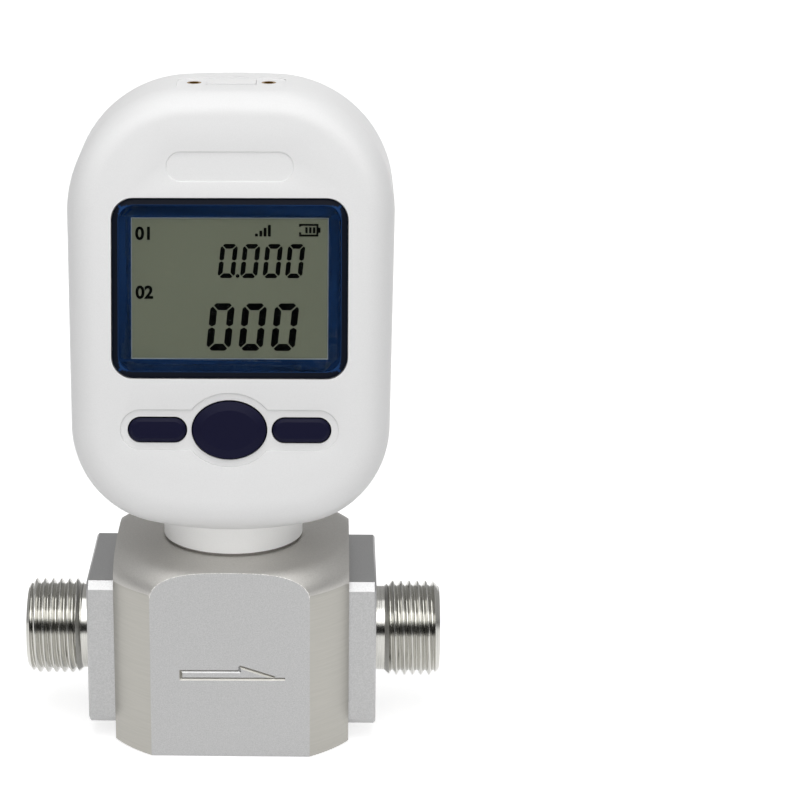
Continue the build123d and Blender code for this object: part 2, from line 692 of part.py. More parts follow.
with BuildPart() as front_shell:
    add(head_outer.part)
    add(head_inner.part, mode=Mode.SUBTRACT)
    split(bisect_by=upright(SPLIT_Y), keep=Keep.TOP)
    add(front_seats.part)
    # display opening
    with BuildSketch(FACE):
        RectangleRounded(BEZEL_W + 2 * BEZEL_CLEAR, BEZEL_H + 2 * BEZEL_CLEAR, BEZEL_R)
    extrude(amount=-BEZEL_SINK - BEZEL_T, mode=Mode.SUBTRACT)
    with BuildSketch(FACE):
        Rectangle(LCD_W + 2 * KEY_GAP, LCD_H + 2 * KEY_GAP)
    extrude(amount=-WALL - PAD_T, mode=Mode.SUBTRACT)
    # button dish and holes
    with BuildSketch(FACE):
        with Locations((0, -KEY_DOWN)):
            add(key_dish())
    extrude(amount=-DISH_T, mode=Mode.SUBTRACT)
    with BuildSketch(FACE):
        with Locations((-PILL_AT, -KEY_DOWN), (PILL_AT, -KEY_DOWN)):
            SlotOverall(PILL_W + 2 * KEY_GAP, PILL_H + 2 * KEY_GAP)
        with Locations((0, -KEY_DOWN)):
            Ellipse(OVAL_W / 2 + KEY_GAP, OVAL_H / 2 + KEY_GAP)
    extrude(amount=-WALL, mode=Mode.SUBTRACT)
    # bare name recess
    with BuildSketch(FACE):
        with Locations((0, NAME_UP)):
            SlotOverall(NAME_W, NAME_H)
    extrude(amount=-NAME_T, mode=Mode.SUBTRACT)
    # data port: recess that runs out over the front edge, socket opening, insert holes
    with BuildSketch(Plane.XY.offset(HEAD_TOP)):
        with Locations((0, PORT_BACK_Y - PORT_W / 2)):
            RectangleRounded(PORT_W, PORT_W, PORT_R)
    extrude(amount=-PORT_T, mode=Mode.SUBTRACT)
    with BuildSketch(Plane.XY.offset(HEAD_TOP)):
        with Locations((0, PORT_Y)):
            Rectangle(CAP_W + 2 * LOOSE, CAP_D + 2 * LOOSE)
    extrude(amount=-WALL - PORT_PAD_T, mode=Mode.SUBTRACT)
    with BuildSketch(Plane.XY.offset(port_floor)):
        with Locations(*insert_spots):
            Circle(INSERT_R)
    extrude(amount=-INSERT_L, mode=Mode.SUBTRACT)
    # neck hole, and the holes of the collar, shell and board screws
    with BuildSketch(Plane.XY.offset(NECK_SHOULDER_Z)):
        Circle(NECK_R + LOOSE)
    extrude(amount=HEAD_LOW - WALL - NECK_SHOULDER_Z, mode=Mode.SUBTRACT)
    with BuildSketch(Plane.XY.offset(NECK_SHOULDER_Z)):
        with GridLocations(2 * COLLAR_SCREW_AT, 1, 2, 1):
            Circle(M2_R + SLIP)
    extrude(amount=NECK_FLANGE_T - COLLAR_SCREW_L - BLIND_END / 2, mode=Mode.SUBTRACT)
    with BuildSketch(upright(SPLIT_Y)):
        with Locations(*boss_spots):
            Circle(M25_R + SLIP)
    extrude(amount=SPLIT_Y - shell_screw_end + BLIND_END, mode=Mode.SUBTRACT)
    with BuildSketch(behind_face(BOARD_DEPTH)):
        with Locations(*post_spots):
            Circle(M2_R + SLIP)
    extrude(amount=BOARD_SCREW_L - BOARD_T + BLIND_END, mode=Mode.SUBTRACT)
    # groove for the shell seal
    with BuildSketch(upright(SPLIT_Y)):
        add(rim_band((WALL - SEAL_W) / 2, (WALL + SEAL_W) / 2))
    extrude(amount=SEAL_DEEP, mode=Mode.SUBTRACT)

# Seats inside the rear shell: neck ring, screw bosses, door frame and battery well
with BuildPart() as rear_seats:
    with BuildSketch(Plane.XY.offset(HEAD_LOW)):
        Circle(NECK_FLANGE_R + WALL)
    extrude(amount=NECK_SHOULDER_Z - HEAD_LOW)
    split(bisect_by=upright(SPLIT_Y), keep=Keep.BOTTOM)
    with BuildSketch(upright(HEAD_BACK)):
        with Locations(*boss_spots):
            Circle(BOSS_R)
    extrude(amount=HEAD_BACK - SPLIT_Y)
    with BuildSketch(upright(HEAD_BACK)):
        with Locations((0, BATTERY_Z)):
            RectangleRounded(DOOR_W + 2 * WELL_WALL, DOOR_H + 2 * WELL_WALL, DOOR_R)
    extrude(amount=DOOR_T + DOOR_PAD_T)
    with BuildSketch(upright(HEAD_BACK)):
        with Locations((0, BATTERY_Z)):
            Rectangle(CELL_W + 2 * (WELL_GAP + WELL_WALL), CELL_H + 2 * (WELL_GAP + WELL_WALL))
    extrude(amount=well_floor + WELL_WALL)
    add(head_outer.part, mode=Mode.INTERSECT)

with BuildPart() as rear_shell:
    add(head_outer.part)
    add(head_inner.part, mode=Mode.SUBTRACT)
    split(bisect_by=upright(SPLIT_Y), keep=Keep.BOTTOM)
    add(rear_seats.part)
    with BuildSketch(upright(HEAD_BACK)):
        with Locations((0, BATTERY_Z)):
            RectangleRounded(DOOR_W + 2 * LOOSE, DOOR_H + 2 * LOOSE, DOOR_R)
    extrude(amount=DOOR_T, mode=Mode.SUBTRACT)
    with BuildSketch(upright(HEAD_BACK)):
        with Locations((0, BATTERY_Z)):
            Rectangle(CELL_W + 2 * WELL_GAP, CELL_H + 2 * WELL_GAP)
    extrude(amount=well_floor, mode=Mode.SUBTRACT)
    with BuildSketch(upright(HEAD_BACK)):
        with Locations(*door_screw_spots):
            Circle(M2_R + SLIP)
    extrude(amount=M2_HEAD_H + DOOR_SCREW_L + BLIND_END, mode=Mode.SUBTRACT)
    with BuildSketch(upright(HEAD_BACK)):
        with Locations(*boss_spots):
            Circle(M25_HEAD_R + LOOSE)
    extrude(amount=SHELL_HEAD_DEEP, mode=Mode.SUBTRACT)
    with BuildSketch(upright(HEAD_BACK)):
        with Locations(*boss_spots):
            Circle(M25_R + LOOSE)
    extrude(amount=HEAD_BACK - SPLIT_Y, mode=Mode.SUBTRACT)
    with BuildSketch(Plane.XY.offset(NECK_SHOULDER_Z)):
        Circle(NECK_R + LOOSE)
    extrude(amount=HEAD_LOW - WALL - NECK_SHOULDER_Z, mode=Mode.SUBTRACT)

with BuildPart() as shell_seal:
    with BuildSketch(upright(SPLIT_Y)):
        add(rim_band((WALL - SEAL_W) / 2, (WALL + SEAL_W) / 2))
    extrude(amount=SEAL_DEEP)
    with BuildSketch(Plane.XY.offset(NECK_SHOULDER_Z)):
        Circle(NECK_R + LOOSE)
    extrude(amount=HEAD_LOW - WALL - NECK_SHOULDER_Z, mode=Mode.SUBTRACT)

with BuildPart() as shell_screws:
    with BuildSketch(upright(HEAD_BACK - SHELL_HEAD_DEEP)):
        with Locations(*boss_spots):
            Circle(M25_HEAD_R)
    extrude(amount=-M25_HEAD_H)
    with BuildSketch(upright(HEAD_BACK - SHELL_HEAD_DEEP)):
        with Locations(*boss_spots):
            Circle(M25_R)
    extrude(amount=SHELL_SCREW_L)

# Display: bezel, clear window, panel and backlight
bezel_front = behind_face(BEZEL_SINK)
lens_w = BEZEL_W - 2 * BEZEL_RIM - 2 * BEZEL_CLEAR
lens_h = BEZEL_H - 2 * BEZEL_RIM - 2 * BEZEL_CLEAR
lens_r = BEZEL_R - BEZEL_RIM
with BuildPart() as display_bezel:
    with BuildSketch(bezel_front):
        RectangleRounded(BEZEL_W, BEZEL_H, BEZEL_R)
    extrude(amount=-BEZEL_T)
    front = display_bezel.faces().sort_by(OUTWARD)[-1]
    chamfer(front.edges(), length=BEZEL_RIM, length2=BEZEL_RIM_H, reference=front)
    with BuildSketch(bezel_front):
        RectangleRounded(lens_w + 2 * SLIP, lens_h + 2 * SLIP, lens_r)
    extrude(amount=-LENS_SINK - LENS_T, mode=Mode.SUBTRACT)
    with BuildSketch(bezel_front):
        Rectangle(SIGHT_W, SIGHT_H)
    extrude(amount=-BEZEL_T, mode=Mode.SUBTRACT)
    with BuildSketch(behind_face(LCD_DEPTH)):
        Rectangle(LCD_W + 2 * LOOSE, LCD_H + 2 * LOOSE)
    extrude(amount=-BEZEL_T, mode=Mode.SUBTRACT)

with BuildPart() as display_window:
    with BuildSketch(bezel_front.offset(-LENS_SINK)):
        RectangleRounded(lens_w, lens_h, lens_r)
    extrude(amount=-LENS_T)

with BuildPart() as lcd_panel:
    with BuildSketch(behind_face(LCD_DEPTH)):
        Rectangle(LCD_W, LCD_H)
    extrude(amount=-LCD_T)

with BuildPart() as backlight:
    with BuildSketch(behind_face(LCD_DEPTH + LCD_T)):
        Rectangle(LCD_W - 2 * LIGHT_RIM, LCD_H - 2 * LIGHT_RIM)
    extrude(amount=-LIGHT_T)

# Main board, its switches and its screws
with BuildPart() as main_board:
    with BuildSketch(behind_face(BOARD_DEPTH)):
        with Locations((0, (BOARD_TOP + BOARD_LOW) / 2)):
            Rectangle(BOARD_W, BOARD_TOP - BOARD_LOW)
        with Locations(*post_spots):
            Circle(M2_R + LOOSE, mode=Mode.SUBTRACT)
    extrude(amount=-BOARD_T)
    with BuildSketch(behind_face(BOARD_DEPTH + BOARD_T)):
        with Locations((0, CONTROLLER_AT)):
            Rectangle(CONTROLLER_W, CONTROLLER_W)
    extrude(amount=-CONTROLLER_T)
    with BuildSketch(behind_face(BOARD_DEPTH + BOARD_T)):
        with Locations((0, PLUG_BLOCK_AT)):
            Rectangle(PLUG_BLOCK_W, PLUG_BLOCK_H)
    extrude(amount=-PLUG_BLOCK_T)

with BuildPart() as board_screws:
    with BuildSketch(behind_face(BOARD_DEPTH + BOARD_T)):
        with Locations(*post_spots):
            Circle(M2_HEAD_R)
    extrude(amount=-M2_HEAD_H)
    with BuildSketch(behind_face(BOARD_DEPTH + BOARD_T)):
        with Locations(*post_spots):
            Circle(M2_R)
    extrude(amount=BOARD_SCREW_L)

with BuildPart() as key_switches:
    with BuildSketch(behind_face(BOARD_DEPTH)):
        with Locations((0, -KEY_DOWN)):
            with GridLocations(PILL_AT, 1, 3, 1):
                Rectangle(SWITCH_W, SWITCH_W)
    extrude(amount=SWITCH_H)
    with BuildSketch(behind_face(BOARD_DEPTH - SWITCH_H)):
        with Locations((0, -KEY_DOWN)):
            with GridLocations(PILL_AT, 1, 3, 1):
                Circle(SWITCH_PIN_R)
    extrude(amount=SWITCH_PIN_H)

# Buttons: cap through the face, a flange behind the wall, a stem over the switch
with BuildPart() as left_button:
    add(button(pill, -PILL_AT, PILL_PROUD, PILL_BEVEL))

with BuildPart() as centre_button:
    add(button(oval, 0, OVAL_PROUD, OVAL_BEVEL))

with BuildPart() as right_button:
    add(button(pill, PILL_AT, PILL_PROUD, PILL_BEVEL))

# Data port: socket, its soft cap and two threaded inserts
cap_low = port_floor + CAP_PROUD - CAP_T
with BuildPart() as data_socket:
    with BuildSketch(Plane.XY.offset(cap_low)):
        with Locations((0, PORT_Y)):
            Rectangle(SOCKET_W, SOCKET_D)
    extrude(amount=-SOCKET_H)
    with BuildSketch(Plane.XY.offset(port_pad)):
        with Locations((0, PORT_Y)):
            Rectangle(SOCKET_EAR_W, SOCKET_EAR_D)
    extrude(amount=-SOCKET_EAR_T)
    with BuildSketch(Plane.XY.offset(cap_low)):
        with Locations((0, PORT_Y)):
            Rectangle(SOCKET_W - 2 * SOCKET_WALL, SOCKET_D - 2 * SOCKET_WALL)
    extrude(amount=-CAP_STEM_L - CAP_T, mode=Mode.SUBTRACT)

with BuildPart() as dust_cap:
    with BuildSketch(Plane.XY.offset(cap_low)):
        with Locations((0, PORT_Y)):
            Rectangle(CAP_W, CAP_D)
    extrude(amount=CAP_T)
    with BuildSketch(Plane.XY.offset(cap_low)):
        with Locations((0, PORT_Y)):
            Rectangle(
                SOCKET_W - 2 * SOCKET_WALL - 2 * SLIP, SOCKET_D - 2 * SOCKET_WALL - 2 * SLIP
            )
    extrude(amount=-CAP_STEM_L)

with BuildPart() as port_inserts:
    with BuildSketch(Plane.XY.offset(port_floor)):
        with Locations(*insert_spots):
            Circle(INSERT_R)
            Circle(M2_R, mode=Mode.SUBTRACT)
    extrude(amount=-INSERT_L)

# Battery and its door
with BuildPart() as battery_pack:
    with BuildSketch(Plane.XY.offset(BATTERY_Z - CELL_H / 2)):
        with Locations((0, HEAD_BACK - well_floor + CELL_T / 2)):
            RectangleRounded(CELL_W, CELL_T, CELL_ROUND)
    extrude(amount=CELL_H)

with BuildPart() as battery_door:
    with BuildSketch(upright(HEAD_BACK)):
        with Locations((0, BATTERY_Z)):
            RectangleRounded(DOOR_W, DOOR_H, DOOR_R)
        with Locations(*door_screw_spots):
            Circle(M2_R + LOOSE, mode=Mode.SUBTRACT)
    extrude(amount=DOOR_T)
    with BuildSketch(upright(HEAD_BACK)):
        with Locations(*door_screw_spots):
            Circle(M2_HEAD_R + LOOSE)
    extrude(amount=M2_HEAD_H, mode=Mode.SUBTRACT)

with BuildPart() as door_screws:
    with BuildSketch(upright(HEAD_BACK)):
        with Locations(*door_screw_spots):
            Circle(M2_HEAD_R)
    extrude(amount=M2_HEAD_H)
    with BuildSketch(upright(HEAD_BACK - M2_HEAD_H)):
        with Locations(*door_screw_spots):
            Circle(M2_R)
    extrude(amount=DOOR_SCREW_L)

# Wireless module on the board and its flat aerial on the rear wall
with BuildPart() as radio_module:
    with BuildSketch(behind_face(BOARD_DEPTH + BOARD_T)):
        with Locations((0, RADIO_UP)):
            Rectangle(RADIO_W, RADIO_W)
    extrude(amount=-RADIO_T)

with BuildPart() as antenna:
    with BuildSketch(upright(HEAD_BACK - WALL)):
        with Locations((0, AERIAL_Z)):
            Rectangle(AERIAL_W, AERIAL_H)
    extrude(amount=AERIAL_T)

# Ribbon from the sensor board up to the main board
plug_face = behind_face(BOARD_DEPTH + BOARD_T + PLUG_BLOCK_T / 2)
ribbon_top = plug_face.from_local_coords((0, PLUG_BLOCK_AT - PLUG_BLOCK_H / 2, 0))
ribbon_y = (SENSOR_BOARD_T + RIBBON_T) / 2
with BuildPart() as sensor_cable:
    with BuildLine(Plane.YZ) as route:
        rise = Line((ribbon_y, BODY_H), (ribbon_y, NECK_SHOULDER_Z))
        Spline(
            rise @ 1,
            (ribbon_top.Y, ribbon_top.Z),
            tangents=[(0, 1), (plug_face.y_dir.Y, plug_face.y_dir.Z)],
        )
    with BuildSketch(Plane.XY.offset(BODY_H)):
        with Locations((0, ribbon_y)):
            Rectangle(RIBBON_W, RIBBON_T)
    sweep(path=route.line)

pieces = {
    "flow_body": flow_body,
    "inlet_fitting": inlet_fitting,
    "outlet_fitting": outlet_fitting,
    "fitting_o_rings": fitting_o_rings,
    "fitting_screws": fitting_screws,
    "flow_straightener": flow_straightener,
    "flow_screens": flow_screens,
    "sensor_carrier": sensor_carrier,
    "carrier_o_ring": carrier_o_ring,
    "carrier_screws": carrier_screws,
    "sensor_board": sensor_board,
    "sensor_chip": sensor_chip,
    "sensor_cable": sensor_cable,
    "neck_gasket": neck_gasket,
    "neck_post": neck_post,
    "neck_screws": neck_screws,
    "collar_screws": collar_screws,
    "front_shell": front_shell,
    "rear_shell": rear_shell,
    "shell_seal": shell_seal,
    "shell_screws": shell_screws,
    "display_bezel": display_bezel,
    "display_window": display_window,
    "lcd_panel": lcd_panel,
    "backlight": backlight,
    "main_board": main_board,
    "board_screws": board_screws,
    "key_switches": key_switches,
    "left_button": left_button,
    "centre_button": centre_button,
    "right_button": right_button,
    "data_socket": data_socket,
    "dust_cap": dust_cap,
    "port_inserts": port_inserts,
    "battery_pack": battery_pack,
    "battery_door": battery_door,
    "door_screws": door_screws,
    "radio_module": radio_module,
    "antenna": antenna,
}
for label, piece in pieces.items():
    piece.part.label = label
    export_step(piece.part, f"parts/{label}.step")
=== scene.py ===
"""Looks of a portable gas flow meter.

An aluminium flow block with two threaded ends carries a white display head.
"""

import logging
import math
from collections.abc import Callable, Sequence
from dataclasses import dataclass
from enum import Enum

import bpy
from mathutils import Matrix, Vector


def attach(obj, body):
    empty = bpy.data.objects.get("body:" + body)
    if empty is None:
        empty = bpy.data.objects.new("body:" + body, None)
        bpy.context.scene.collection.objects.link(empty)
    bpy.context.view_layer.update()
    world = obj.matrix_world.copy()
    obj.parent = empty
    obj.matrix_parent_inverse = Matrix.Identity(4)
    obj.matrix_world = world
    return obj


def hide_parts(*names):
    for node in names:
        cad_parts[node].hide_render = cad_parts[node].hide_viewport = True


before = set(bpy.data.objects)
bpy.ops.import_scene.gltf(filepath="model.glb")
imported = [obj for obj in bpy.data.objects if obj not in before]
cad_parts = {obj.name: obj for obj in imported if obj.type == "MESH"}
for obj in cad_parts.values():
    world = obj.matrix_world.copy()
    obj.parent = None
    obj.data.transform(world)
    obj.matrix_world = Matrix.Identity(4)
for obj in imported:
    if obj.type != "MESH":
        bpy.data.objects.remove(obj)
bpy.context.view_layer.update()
log = logging.getLogger("flow_meter")

MM = 0.001
Point = tuple[float, float, float]

# two corners of a CAD node this close are one
MERGE_MM = 0.002
# faces that meet at less than this are one flat face
FLAT_ANGLE = math.radians(0.2)
# edges sharper than this can be rounded
SHARP_ANGLE = math.radians(50)
# how near a plane a point counts as on it
TOUCH_MM = 0.01
# a face whose normal's part along an axis is above this stands square to it
SQUARE = 0.999
# the photograph's frame and the camera's sensor
FRAME_PX = 800
SENSOR_MM = 36.0


def linear(hex_colour: str) -> tuple[float, float, float, float]:
    """Turn an sRGB hex colour into the linear values that a shader takes.

    Args:
        hex_colour: six hex digits, such as "e8e8e6".

    Returns:
        Linear red, green, blue and an alpha of 1.
    """
    parts = [int(hex_colour[i : i + 2], 16) / 255 for i in (0, 2, 4)]
    flat = [c / 12.92 if c <= 0.04045 else ((c + 0.055) / 1.055) ** 2.4 for c in parts]
    return (flat[0], flat[1], flat[2], 1.0)


class Nodes:
    """A node tree while it is being wired."""

    def __init__(self, tree: bpy.types.NodeTree) -> None:
        """Start on a tree.

        Args:
            tree: the tree of a material or of the world.
        """
        self.tree = tree

    def add(self, kind: str, settings: dict | None = None, **links: object) -> bpy.types.Node:
        """Add one node.

        Args:
            kind: the node's type name without "ShaderNode".
            settings: attributes of the node to set.
            **links: input names, with _ for a space, each with a socket or a constant;
                an input without a name of its own goes by in0, in1 and so on.

        Returns:
            The new node.
        """
        node = self.tree.nodes.new("ShaderNode" + kind)
        for key, value in (settings or {}).items():
            setattr(node, key, value)
        for key, value in links.items():
            name = int(key[2:]) if key[:2] == "in" and key[2:].isdigit() else key.replace("_", " ")
            self.feed(node.inputs[name], value)
        return node

    def feed(self, socket: bpy.types.NodeSocket, value: object) -> None:
        """Link a socket to another, or set it to a constant.

        Args:
            socket: the input.
            value: an output socket or a constant.
        """
        if isinstance(value, bpy.types.NodeSocket):
            self.tree.links.new(value, socket)
        else:
            socket.default_value = value

    def math(self, operation: str, first: object, second: object) -> bpy.types.NodeSocket:
        """Join two values with one Math node and give back its output."""
        return self.add("Math", {"operation": operation}, in0=first, in1=second).outputs[0]


class Shader(Nodes):
    """A material with one surface shader."""

    def __init__(self, name: str) -> None:
        """Start the material.

        Args:
            name: the material's name.
        """
        self.material = bpy.data.materials.new(name)
        self.material.use_nodes = True
        super().__init__(self.material.node_tree)
        self.surface = self.tree.nodes["Principled BSDF"]

    def set(self, **values: object) -> None:
        """Set or link sockets of the surface shader, named with _ for a space."""
        for key, value in values.items():
            self.feed(self.surface.inputs[key.replace("_", " ")], value)


@dataclass(frozen=True)
class Finish:
    """One real material and how its surface was made.

    Args:
        name: plain name of the material.
        colour: sRGB hex.
        roughness: of the surface.
        metallic: 1 for bare metal.
        ior: index of refraction, for what is no metal.
        grain_mm: spacing of the surface grain, 0 for a polished piece.
        grain_depth: how far the grain tips the surface, 0 to 1.
        mottle: how far the roughness wanders with the grain.
        wander: how far the colour wanders with the grain, as a share of it.
        fleck: a second sRGB hex for the grain to mix in, in place of that wander.
        lathe: the axis that the piece was turned about, X, Y or Z.
        transmission: 1 for clear pieces.
        specular: level of the surface's own gloss, 0 where a clear layer is bonded to it.
    """

    name: str
    colour: str
    roughness: float = 0.5
    metallic: float = 0.0
    ior: float = 1.49
    grain_mm: float = 0.3
    grain_depth: float = 0.04
    mottle: float = 0.03
    wander: float = 0.03
    fleck: str = ""
    lathe: str = ""
    transmission: float = 0.0
    specular: float = 0.5

    def make(self) -> bpy.types.Material:
        """Build the material, or give back the one already built.

        Returns:
            The material.
        """
        found = bpy.data.materials.get(self.name)
        if found:
            return found
        shader = Shader(self.name)
        shader.set(
            Base_Color=linear(self.colour),
            Roughness=self.roughness,
            Metallic=self.metallic,
            Transmission_Weight=self.transmission,
        )
        if not self.metallic:
            shader.set(IOR=self.ior, Specular_IOR_Level=self.specular)
        if self.grain_mm:
            self.roughen(shader)
        return shader.material

    def roughen(self, shader: Shader) -> None:
        """Add the grain: bump, wandering roughness and flecks.

        Args:
            shader: the material under way.
        """
        place = shader.add("TexCoord").outputs["Object"]
        if self.lathe:
            # tool marks run round the axis: fine along it, long drawn across it
            fine, drawn = 1.0, 0.03
            scale = [fine if axis == self.lathe else drawn for axis in "XYZ"]
            place = shader.add("Mapping", Vector=place, Scale=scale).outputs["Vector"]
        grain = shader.add(
            "TexNoise", Vector=place, Scale=1 / (self.grain_mm * MM), Detail=3.0, Roughness=0.6
        ).outputs["Fac"]
        bump = shader.add(
            "Bump", Height=grain, Strength=self.grain_depth, Distance=self.grain_mm * MM / 4
        )
        shader.set(Normal=bump.outputs["Normal"])
        low, high = self.roughness - self.mottle, self.roughness + self.mottle
        spread = shader.add("MapRange", Value=grain, To_Min=low, To_Max=high)
        spots = shader.add("MapRange", Value=grain, From_Min=0.35, From_Max=0.65)
        mix = shader.add("Mix", {"data_type": "RGBA"}, in0=spots.outputs["Result"])
        darker, lighter = self.tones()
        shader.feed(mix.inputs[6], darker)
        shader.feed(mix.inputs[7], lighter)
        shader.set(Roughness=spread.outputs["Result"], Base_Color=mix.outputs[2])

    def tones(self) -> tuple[Sequence[float], Sequence[float]]:
        """Give the two linear colours that the grain mixes.

        Returns:
            The darker and the lighter one, each with an alpha of 1.
        """
        colour = linear(self.colour)
        if self.fleck:
            return colour, linear(self.fleck)
        steps = (1 - self.wander / 2, 1 + self.wander / 2)
        darker, lighter = ([*(part * step for part in colour[:3]), 1.0] for step in steps)
        return darker, lighter


# Satin ABS, moulded against a lightly eroded tool: soft wide highlights, no mirror
WHITE_ABS = Finish("white satin ABS", "efefef", 0.42, grain_mm=0.25, grain_depth=0.05, mottle=0.03)
# The neck's ABS, painted whiter than the casing as painted light for the bounce it gets under the
# head, and moulded against a smoother tool: a little more gloss
NECK_ABS_PAINTED_LIGHT = Finish("white ABS painted lighter", "f8f8f7", 0.38, grain_mm=0.25, grain_depth=0.04, mottle=0.03)
# Aluminium, bead-blasted and clear anodised: grey, even, with a fine sparkle.
# Real grit is about 0.1 mm; drawn at 0.24 mm so that it shows.
BLASTED_ALUMINIUM = Finish(
    "bead-blasted aluminium", "adadad", 0.4, 1.0,
    grain_mm=0.24, grain_depth=0.3, mottle=0.06, fleck="bebebe",
)
# The same block where it was turned, with faint lines round its axis; its warmer tint is a painted
# reflection of warm surroundings.
# Real lathe lines are about 0.1 mm apart; drawn at 0.35 mm so that they show.
TURNED_ALUMINIUM = Finish(
    "turned aluminium with painted warm reflection", "aeaca6", 0.42, 1.0,
    grain_mm=0.35, grain_depth=0.06, mottle=0.04, fleck="b4b2ac", lathe="Z",
)
# The block's crown, turned and then blasted: duller than the corners; its paler colour on the
# upward faces is painted light, a painted reflection of the white head above it
CROWN_PAINTED_PALE = Finish(
    "crown aluminium painted paler", "c6c4c0", 0.5, 1.0,
    grain_mm=0.3, grain_depth=0.2, mottle=0.05, fleck="d0ceca",
)
# The flats' broken edge towards the crown, drawn as a flat band, smoother and painted brighter: a
# painted highlight, a thin line that glints here and there
GLINT_PAINTED_ALUMINIUM = Finish(
    "aluminium with painted glint", "b6b4b0", 0.2, 1.0, grain_mm=0.6, grain_depth=0.4, fleck="f2f1ee"
)
# Nickel-plated steel, turned about the flow axis: bright, with fine lathe lines.
# Real ones are under 0.1 mm apart; drawn at 0.3 mm so that they show.
TURNED_STEEL = Finish(
    "turned plated steel", "b9b8b3", 0.17, 1.0,
    grain_mm=0.3, grain_depth=0.12, mottle=0.06, fleck="d0cfca", lathe="X",
)
# Stainless steel, cold headed: grey, with wide dull highlights
SCREW_STEEL = Finish("stainless screw steel", "9c9c9a", 0.35, 1.0)
# Acrylic frame printed navy, under the clear window: deep blue, with no gloss of its own
NAVY_ACRYLIC = Finish("navy acrylic", "23406d", 0.5, specular=0.0)
# The frame's bevelled outer edge: navy painted nearly black as painted shade, with little gloss
RIM_PAINTED_SHADE = Finish("acrylic rim with painted shade", "060c1a", 0.5, specular=0.1)
# The bevel at the frame's opening, painted light grey: a painted highlight along the edge
BEVEL_PAINTED_HIGHLIGHT = Finish("acrylic bevel with painted highlight", "a6adb4", 0.4, specular=0.2)
# Clear acrylic window, polished
CLEAR_ACRYLIC = Finish("clear acrylic", "fbfdfd", 0.04, grain_mm=0.0, transmission=1.0)
# Reflective display film: grey-green, matte
DISPLAY_FILM = Finish("display film", "888b79", 0.6, specular=0.0)
# Display ink: the dark state of the liquid crystal
DISPLAY_INK = Finish("display ink", "0b0c0b", 0.5, specular=0.0)
# Satin ABS keys, navy through and through
NAVY_KEYS = Finish("navy satin ABS", "10102c", 0.45, grain_mm=0.25, grain_depth=0.05, specular=0.12)
# White silicone, moulded: soft and dull
WHITE_SILICONE = Finish("white silicone", "eeeeee", 0.55, ior=1.41)
# Free-cutting brass, turned: yellow, bright where the light falls in
BRASS = Finish("turned brass", "b98f3e", 0.3, 1.0)
# Grey silicone, moulded: dull, a thin dark line under the neck
GREY_SILICONE = Finish("grey silicone", "8c8884", 0.6, ior=1.41)
# Nitrile rubber, moulded: black and dull
BLACK_RUBBER = Finish("black nitrile rubber", "161616", 0.65, ior=1.52)
# Glass-fibre board under green solder mask: half gloss
GREEN_BOARD = Finish("green circuit board", "11502c", 0.35)
# Polished silicon: dark, nearly a mirror
SILICON = Finish("silicon die", "2a2c33", 0.12, ior=3.5)
# Polyimide film, rolled: amber, half gloss
POLYIMIDE = Finish("polyimide film", "b8752a", 0.3)
# Grey engineering plastic, moulded: even and half dull
GREY_PLASTIC = Finish("grey moulded plastic", "77777a", 0.5)
# Black engineering plastic, moulded: even and half dull
BLACK_PLASTIC = Finish("black moulded plastic", "19191a", 0.45)
# Opal acrylic, cast: milky and soft
LIGHT_GUIDE = Finish("opal acrylic", "e6e6e0", 0.4)
# PVC sleeve, shrunk on: blue and glossy
BLUE_SLEEVE = Finish("blue PVC sleeve", "1c3f86", 0.25)


